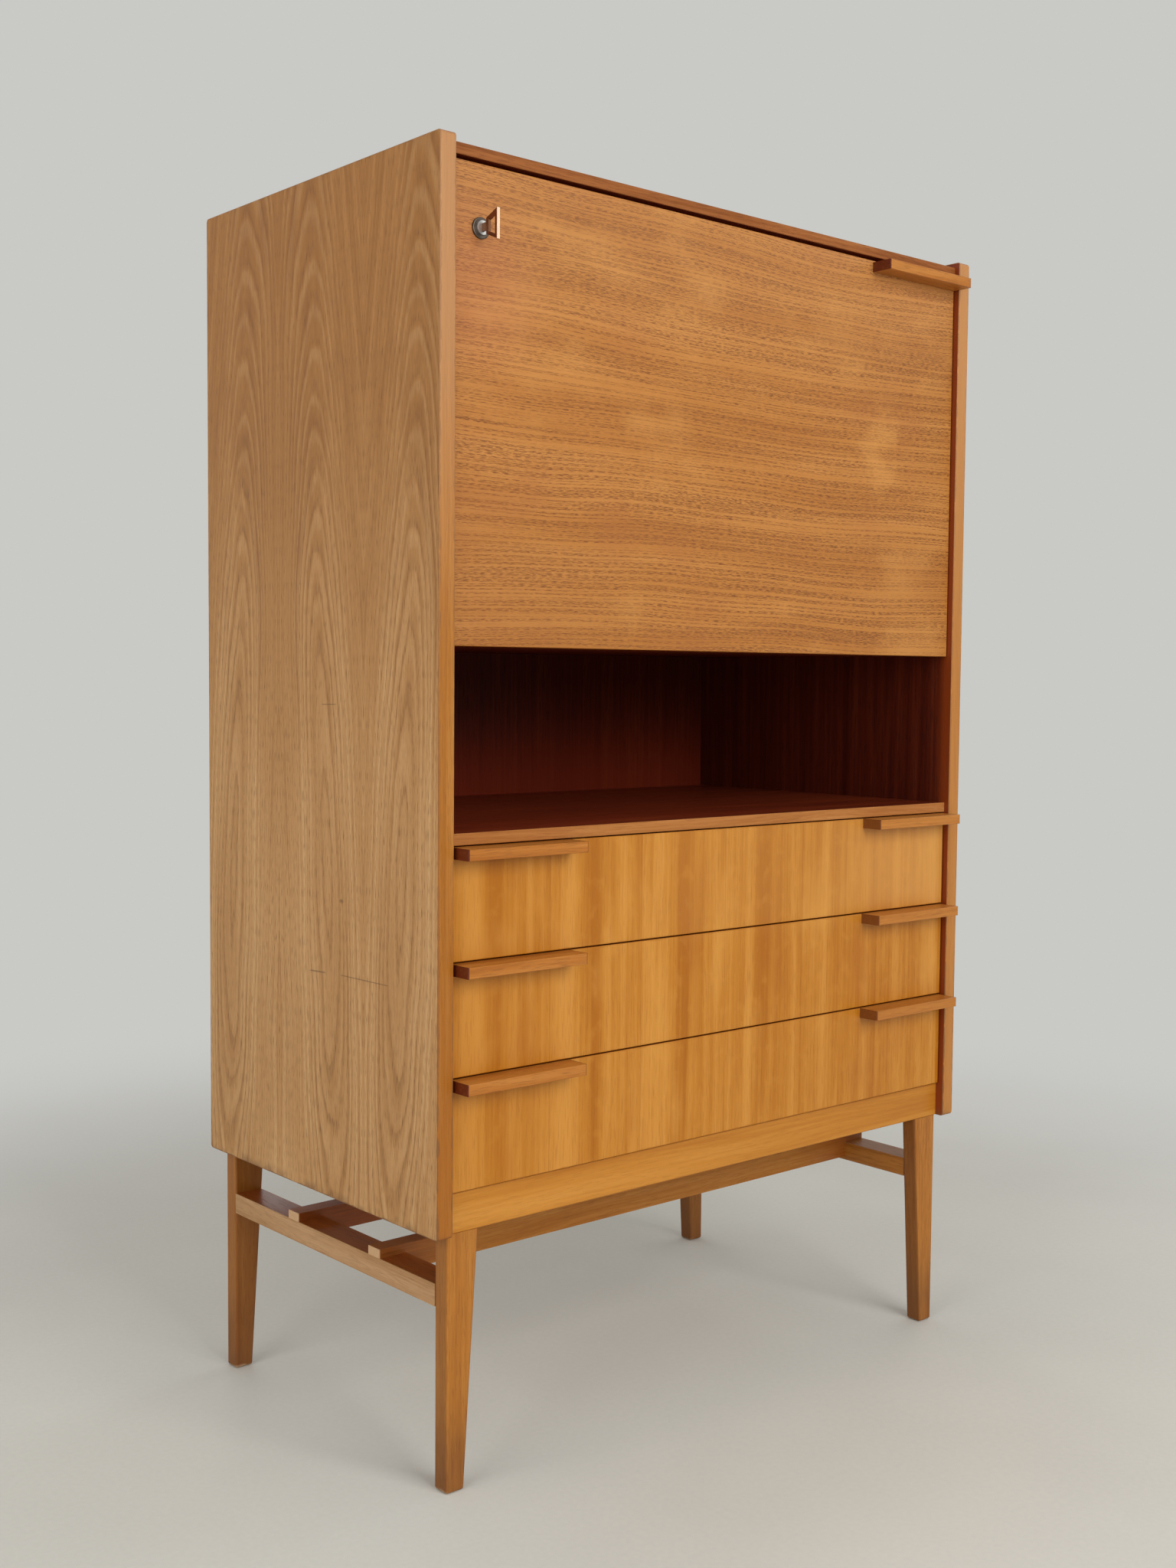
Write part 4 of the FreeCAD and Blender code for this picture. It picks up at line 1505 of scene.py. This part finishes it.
@dataclass
class LockAndKey:
    """Lock case, rosette, barrel, plug, bolt, strike plate and key."""

    case_face: float = -0.167
    case_middle: Pair = (-0.340, 1.191)
    case_screw: SlottedScrew = SlottedScrew(0.0028)
    case_spread: Pair = (0.019, 0.020)
    case_turns: Pair = (20.0, 37.0)
    strike_middle: Point = (-0.367, -0.1731, 1.195)
    strike_screw: SlottedScrew = SlottedScrew(0.0026, 0.0003)
    strike_spread: float = 0.0165
    strike_turn: float = 25.0
    rubbed_skin: Pair = (0.0009, 0.0005)
    nickel_seed: float = 50.0

    def dress(self, nodes: Nodes) -> None:
        """Dress every piece of the lock, and the key with a painted highlight on its front face.

        Args:
            nodes: Carried-over pieces by name.
        """
        for index, name in enumerate(("lock_case", "lock_barrel", "lock_bolt", "strike_plate")):
            dress(nodes, name, NICKEL.piece(name, self.nickel_seed + index))
        dress(nodes, "lock_plug", STEEL.piece("lock_plug", seed=55.0))
        dress(nodes, "lock_rosette", DARK_BRONZE.piece("lock_rosette", seed=56.0))
        graph = Graph("aged_bronze_key")
        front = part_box("key")[0][1]
        # Painted highlight on the key's front face.
        painted_highlight = graph.ease(graph.y, front + self.rubbed_skin[0], front + self.rubbed_skin[1])
        surface = graph.choose(painted_highlight, AGED_BRONZE_AND_REFLECTION.paint(graph, seed=57.0), BRONZE.paint(graph, seed=58.0))
        dress(nodes, "key", AGED_BRONZE_AND_REFLECTION.finish(graph, surface))

    def build(self) -> None:
        """Screw the lock case to the flap and the strike plate to the panel."""
        corners = []
        x, z = self.case_middle
        first, step = self.case_turns
        for index, (across, up) in enumerate(((-1, -1), (1, -1), (-1, 1), (1, 1))):
            point = (x + across * self.case_spread[0], self.case_face, z + up * self.case_spread[1])
            corners.append((point, BACKWARD, first + step * index))
        self.case_screw.place("lock_case_screws", corners, "flap", NICKEL, "nickel")
        x, y, z = self.strike_middle
        ends = [((x, y, z + up * self.strike_spread), RIGHTWARD, self.strike_turn * up) for up in (-1, 1)]
        self.strike_screw.place("strike_plate_screws", ends, "carcass", NICKEL, "nickel")


@dataclass
class FlapStays:
    """Pivot hinges and both stays."""

    plate_face: float = 0.3645
    plate_middle: Pair = (-0.098485, 0.973277)
    plate_screw: SlottedScrew = SlottedScrew(0.003)
    plate_spread: float = 0.0162
    plate_turn: float = 40.0
    bracket_x: float = 0.351
    bracket_middle: Pair = (-0.177, 0.996308)
    bracket_screw: SlottedScrew = SlottedScrew(0.0028)
    bracket_spread: float = 0.0155
    bracket_turns: Pair = (15.0, 50.0)
    pivot_face: float = 0.367
    pivot_middle: Pair = (-0.189, 0.8165)
    pivot_screw: SlottedScrew = SlottedScrew(0.0026, 0.0003)
    pivot_rises: Pair = (0.0135, 0.0285)
    pivot_turn: float = 3000.0
    brass_seed: float = 70.0

    def dress(self, nodes: Nodes) -> None:
        """Dress the hinges and stays.

        Args:
            nodes: Carried-over pieces by name.
        """
        names = ["hinge_plates", "hinge_bushes"]
        for side in Side:
            names += [side.word + "_stay_" + part for part in ("rod", "guide", "base", "bracket")]
        for index, name in enumerate(names):
            dress(nodes, name, BRASS.piece(name, self.brass_seed + index))

    def build(self) -> None:
        """Screw down the plates of both stays and of the pivots."""
        for side in Side:
            sign = side.value
            inward = (-sign, 0.0, 0.0)
            base, bracket, pivot = [], [], []
            for up in (-1, 1):
                y, z = self.plate_middle
                point = (sign * self.plate_face, y, z + up * self.plate_spread)
                base.append((point, inward, self.plate_turn * up))
                y, z = self.bracket_middle
                point = (sign * self.bracket_x, y, z + up * self.bracket_spread)
                bracket.append((point, BACKWARD, self.bracket_turns[0] + self.bracket_turns[1] * up))
            for rise in self.pivot_rises:
                y, z = self.pivot_middle
                pivot.append(((sign * self.pivot_face, y, z + rise), inward, self.pivot_turn * rise))
            self.plate_screw.place(side.word + "_stay_base_screws", base, "carcass", BRASS, "brass")
            self.bracket_screw.place(side.word + "_bracket_screws", bracket, "flap", BRASS, "brass")
            self.pivot_screw.place(side.word + "_pivot_screws", pivot, "carcass", BRASS, "brass")


@dataclass
class Drawers:
    """Three drawers with veneered fronts, beech boxes and block handles, and their runners."""

    count: int = 3
    face: float = -0.198
    back: float = -0.182
    skin: float = 0.0011
    veneer_seed: float = 81.0
    first_seed: float = 90.0
    seed_step: float = 7.0
    runner_seed: float = 120.0
    inside_shift: float = 6.0
    edge_shift: float = 7.0
    handle_shift: float = 5.0
    box: tuple[tuple[str, Timber, Grain], ...] = (
        ("_left_side", BEECH, Grain.Y),
        ("_right_side", BEECH, Grain.Y),
        ("_back", BEECH, Grain.X),
        ("_bottom", PLY, Grain.X),
    )

    def dress(self, nodes: Nodes) -> None:
        """Dress every drawer and the runners.

        Args:
            nodes: Carried-over pieces by name.
        """
        for index in range(1, self.count + 1):
            name = "drawer_%d" % index
            seed = self.first_seed + self.seed_step * index
            dress(nodes, name + "_front", self.front(name + "_front", seed))
            for step, (part, timber, grain) in enumerate(self.box, 1):
                dress(nodes, name + part, timber.piece(name + part, grain, seed + step))
            bars = name + "_handles"
            dress(nodes, bars, BlockHandles().finish(bars, seed + self.handle_shift))
        for side in Side:
            name = side.word + "_runners"
            dress(nodes, name, BEECH.piece(name, Grain.Y, self.runner_seed + side.value))

    def front(self, node: str, seed: float) -> Material:
        """Material of one drawer front, whose leaves line up with the other fronts.

        Args:
            node: Drawer front.
            seed: Seed of its edges and back.

        Returns:
            The finished material.
        """
        graph = Graph("drawer_veneer_" + node)
        outside = RIBBON.paint(graph, self.veneer_seed)
        inside = BEECH.paint(graph, Grain.X, seed + self.inside_shift)
        edge = RED_STAIN_AND_SHADE.paint(graph, Grain.X, seed + self.edge_shift)
        on_face = graph.near(graph.y, self.face, self.skin)
        on_inside = graph.near(graph.y, self.back, -self.skin)
        surface = graph.choose(on_face, graph.choose(on_inside, edge, inside), outside)
        surface = DRAWER_VENEER.worn(graph, surface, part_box(node), seed)
        return DRAWER_VENEER.finish(graph, surface)


@dataclass
class LegFrame:
    """Legs, stretchers, cross rails, apron and rear rail in solid timber."""

    leg_seed: float = 140.0
    stretcher_seed: float = 160.0
    seed_step: float = 3.0
    rail_half_length: float = 0.3655
    rail_skin: float = 0.0012
    rail_core: float = 0.5
    rail_ends: EndGrainAndShade = EndGrainAndShade((0.60, 0.37, 0.19), 0.9)
    # Red stain and painted shade towards the ends of the cross rails.
    stain_band: Pair = (0.22, 0.35)
    stain_share: float = 0.7
    stain_shift: float = 1.0
    taper: float = 0.0635
    # Painted shade on the legs' inner faces and on the left legs' outer faces.
    inner_face: Wash = Wash((0.3459, 0.3453), 0.55, (0.12, 0.035, 0.008))
    left_face: Wash = Wash((-0.3647, -0.3652), 0.3, (0.17, 0.060, 0.010))
    rear_shade: Colour = (0.14, 0.036, 0.003)
    rear_shares: Pair = (0.5, 0.25)
    rear_skin: Pair = (0.0012, 0.0007)
    speck: Layer = Layer((30.0, 30.0, 14.0), 3.0, 4.0)
    grime: Colour = (0.13, 0.042, 0.010)
    grime_height: float = 0.12
    grime_line: Pair = (1.0, 0.1)
    scuff: Wash = Wash((-0.006, -0.0095), 0.6, (0.50, 0.34, 0.20))
    scuff_reach: float = 0.018
    worn_roughness: float = 0.2

    def dress(self, nodes: Nodes) -> None:
        """Dress the whole frame.

        Args:
            nodes: Carried-over pieces by name.
        """
        upright = ("front_left_leg", "front_right_leg", "rear_left_leg", "rear_right_leg")
        for index, name in enumerate(upright):
            dress(nodes, name, self.leg(name, self.leg_seed + self.seed_step * index))
        for index, name in enumerate(("left_stretcher", "right_stretcher")):
            dress(nodes, name, self.stretcher(name, self.stretcher_seed + self.seed_step * index))
        dress(nodes, "front_cross_rail", self.rail("front_cross_rail", LIPPING, seed=170.0))
        # The rear cross rail dark red: partly red stain, partly painted shade under the case.
        dress(nodes, "rear_cross_rail", self.rail("rear_cross_rail", RED_STAIN_AND_SHADE, seed=173.0))
        dress(nodes, "rear_rail", LEG_TIMBER.piece("rear_rail", Grain.X, seed=177.0))
        dress(nodes, "front_apron", GOLDEN.piece("front_apron", Grain.X, seed=180.0))

    def leg(self, node: str, seed: float) -> Material:
        """Material of a leg: painted shade on its inner face and on the left legs' outer face, grimy
        towards the floor, scuffed at its foot.

        Args:
            node: Leg node.
            seed: Seed of its grain.

        Returns:
            The finished material.
        """
        graph = Graph("leg_timber_" + node)
        surface = LEG_TIMBER.worn(graph, LEG_TIMBER.paint(graph, Grain.Z, seed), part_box(node), seed)
        inner = graph.line(graph.z, self.taper, graph.size(graph.x))
        # Painted shade on the inner face, then on the outer face of the left legs.
        colour = self.inner_face.over(graph, surface.colour, inner)
        colour = self.left_face.over(graph, colour, graph.x)
        if node.startswith("rear"):
            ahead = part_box(node)[0][1]
            on_front = graph.ease(graph.y, ahead + self.rear_skin[0], ahead + self.rear_skin[1])
            share = self.rear_shares[0] if "left" in node else self.rear_shares[1]
            colour = graph.tint(graph.times(on_front, share), colour, self.rear_shade)
        speck = graph.noise(graph.point, self.speck, seed)
        low = graph.times(graph.ease(graph.z, self.grime_height, 0.0), graph.line(speck, *self.grime_line))
        colour = graph.tint(low, colour, self.grime)
        scuff = self.scuff.share(graph, graph.line(speck, -self.scuff_reach, graph.z))
        colour = graph.tint(scuff, colour, self.scuff.colour)
        rough = graph.line(graph.larger(low, scuff), self.worn_roughness, surface.roughness)
        return LEG_TIMBER.finish(graph, Surface(colour, rough, surface.height))

    def stretcher(self, node: str, seed: float) -> Material:
        """Material of a stretcher: pale outer face, and the left one dark red on its other faces, partly
        red stain and partly painted shade.

        Args:
            node: Stretcher node.
            seed: Seed of its grain.

        Returns:
            The finished material.
        """
        graph = Graph("stretcher_" + node)
        outer = PALE_FACE.paint(graph, Grain.Y, seed)
        # The left stretcher's inner and top faces dark red: partly red stain, partly painted shade.
        stain = RED_STAIN_AND_SHADE if node.startswith("left") else LEG_TIMBER
        inner = stain.paint(graph, Grain.Y, seed + self.stain_shift)
        outside = graph.near(graph.size(graph.x), self.rail_half_length, -self.rail_skin, self.rail_core)
        surface = PALE_FACE.worn(graph, graph.choose(outside, inner, outer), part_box(node), seed)
        return PALE_FACE.finish(graph, surface)

    def rail(self, node: str, timber: Timber, seed: float) -> Material:
        """Material of a cross rail, red stain and painted shade towards its pale ends.

        Args:
            node: Rail node.
            timber: Wood of its middle.
            seed: Seed of its grain.

        Returns:
            The finished material.
        """
        graph = Graph("cross_rail_" + node)
        out = graph.size(graph.x)
        # Partly red stain, partly painted shade towards the rail ends.
        stain_and_shade = graph.times(graph.ease(out, *self.stain_band), self.stain_share)
        stain = RED_STAIN_AND_SHADE.paint(graph, Grain.X, seed + self.stain_shift)
        surface = graph.choose(stain_and_shade, timber.paint(graph, Grain.X, seed), stain)
        return timber.finish(graph, self.rail_ends.show(graph, surface, out, self.rail_half_length))


@dataclass(frozen=True)
class Lamp:
    """Large soft square lamp, aimed at a point."""

    name: str
    place: Point
    target: Point
    size: float
    power: float

    def hang(self) -> None:
        """Hang the lamp in the scene."""
        data = bpy.data.lights.new(self.name, "AREA")
        data.size = self.size
        data.energy = self.power
        lamp = bpy.data.objects.new(self.name, data)
        bpy.context.collection.objects.link(lamp)
        lamp.location = self.place
        aim = Vector(self.target) - Vector(self.place)
        lamp.rotation_euler = aim.to_track_quat("-Z", "Y").to_euler()


@dataclass
class Studio:
    """Pale floor and surround, soft light, and the camera at the photograph's angle."""

    lamps: tuple[Lamp, ...] = (
        Lamp("key", (0.0, -3.35, 2.0), (0.0, -0.1, 0.65), 2.0, 76.0),
        Lamp("fill", (-1.6, -2.4, 0.9), (0.0, 0.0, 0.6), 1.8, 9.0),
        Lamp("side", (-3.0, -0.6, 1.4), (-0.3, 0.0, 0.7), 2.0, 33.0),
        Lamp("right", (3.2, 0.4, 1.7), (0.3, 0.0, 0.7), 2.2, 16.0),
        Lamp("rear", (0.4, 3.3, 1.9), (0.0, 0.1, 0.7), 2.4, 16.0),
    )
    surround: Colour = (0.585, 0.585, 0.565)
    sky: Colour = (1.0, 0.99, 0.97)
    sky_strength: float = 0.36
    floor_colour: Colour = (0.66, 0.652, 0.596)
    floor_tones: Pair = (0.94, 1.05)
    floor_stops: Pair = (0.35, 0.65)
    floor_reach: float = 7.0
    floor_sides: int = 96
    floor_level: float = -0.0005
    floor_fade: Pair = (0.75, 2.0)
    floor_gloss: float = 0.25
    floor_relief: float = 0.0001
    floor_satin: Pair = (0.1, 0.6)
    floor_weights: Pair = (0.7, 0.3)
    floor_cloud: Layer = Layer((2.0, 2.0, 1.0), 1.0, 4.0)
    floor_grit: Layer = Layer((160.0, 160.0, 1.0), 2.0, 3.0)
    camera_place: Point = (-1.33097, -1.51195, 0.77865)
    camera_right: Point = (0.75765, -0.65261, 0.00808)
    camera_up: Point = (0.03336, 0.05109, 0.99814)
    camera_ahead: Point = (0.65181, 0.75597, -0.06048)
    lens: float = 40.32
    sensor: float = 36.0

    def build(self) -> None:
        """Set up floor, surround, lamps and camera."""
        self.floor()
        self.world()
        for lamp in self.lamps:
            lamp.hang()
        self.camera()
        bpy.context.scene.view_settings.view_transform = "Standard"

    def floor(self) -> None:
        """Lay a wide floor that fades into the surround."""
        deselect()
        bpy.ops.mesh.primitive_circle_add(
            vertices=self.floor_sides, radius=self.floor_reach, fill_type="NGON",
            location=(0.0, 0.0, self.floor_level),
        )
        floor = bpy.context.active_object
        floor.name = "studio_floor"
        bpy.ops.object.transform_apply(location=True)
        graph = Graph("studio_floor")
        point = graph.flat(graph.x, graph.y)
        cloud = graph.noise(point, self.floor_cloud, seed=0.0)
        grit = graph.noise(point, self.floor_grit, seed=0.0)
        broad, fine = self.floor_weights
        tone = graph.plus(graph.times(cloud, broad), graph.times(grit, fine))
        tones = [tuple(share * part for part in self.floor_colour) for share in self.floor_tones]
        colour = graph.ramp(tone, self.floor_stops, tones)
        graph.close(Surface(colour, graph.line(grit, *self.floor_satin), grit), self.floor_relief)
        graph.shader.inputs["Specular IOR Level"].default_value = self.floor_gloss
        far = graph.ease(graph.distance(graph.x, graph.y), *self.floor_fade)
        glow = graph.add("ShaderNodeEmission", {0: (*self.surround, 1.0), 1: 1.0})
        mix = graph.add("ShaderNodeMixShader", {0: far, 1: graph.shader.outputs[0], 2: glow.outputs[0]})
        graph.links.new(mix.outputs[0], graph.nodes["Material Output"].inputs[0])
        floor.data.materials.append(graph.material)

    def world(self) -> None:
        """Set an even surround: pale to the camera and in reflections, softer as light."""
        world = bpy.data.worlds.new("surround")
        bpy.context.scene.world = world
        world.use_nodes = True
        nodes, links = world.node_tree.nodes, world.node_tree.links
        seen = nodes["Background"]
        seen.inputs[0].default_value = (*self.surround, 1.0)
        light = nodes.new("ShaderNodeBackground")
        light.inputs[0].default_value = (*self.sky, 1.0)
        light.inputs[1].default_value = self.sky_strength
        path = nodes.new("ShaderNodeLightPath")
        share = path.outputs["Is Camera Ray"]
        for ray in ("Is Transmission Ray", "Is Glossy Ray"):
            either = nodes.new("ShaderNodeMath")
            either.operation = "MAXIMUM"
            links.new(share, either.inputs[0])
            links.new(path.outputs[ray], either.inputs[1])
            share = either.outputs[0]
        mix = nodes.new("ShaderNodeMixShader")
        for index, socket in enumerate((share, light.outputs[0], seen.outputs[0])):
            links.new(socket, mix.inputs[index])
        links.new(mix.outputs[0], nodes["World Output"].inputs[0])

    def camera(self) -> None:
        """Set the camera that was solved from the photograph."""
        data = bpy.data.cameras.new("camera")
        data.lens = self.lens
        data.sensor_width = self.sensor
        camera = bpy.data.objects.new("camera", data)
        bpy.context.collection.objects.link(camera)
        axes = (self.camera_right, self.camera_up, self.camera_ahead)
        right, up, ahead = (Vector(axis).normalized() for axis in axes)
        turn = Matrix((right, up, -ahead)).transposed().to_4x4()
        camera.matrix_world = Matrix.Translation(self.camera_place) @ turn
        bpy.context.scene.camera = camera


def main() -> None:
    """Load the cabinet, dress every piece, add the small fittings and set up the studio."""
    logging.basicConfig(level=logging.INFO, format="%(name)s: %(message)s")
    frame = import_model()
    nodes = frame["nodes"]
    back, stays, lock = BackSheet(), FlapStays(), LockAndKey()
    case = (SidePanels(), FixedBoards(), back, Compartment())
    moving = (Flap(), lock, stays, Drawers())
    for group in (*case, *moving, LegFrame()):
        group.dress(nodes)
    for group in (back, stays, lock):
        group.build()
    Studio().build()


if __name__ == "__main__":
    main()
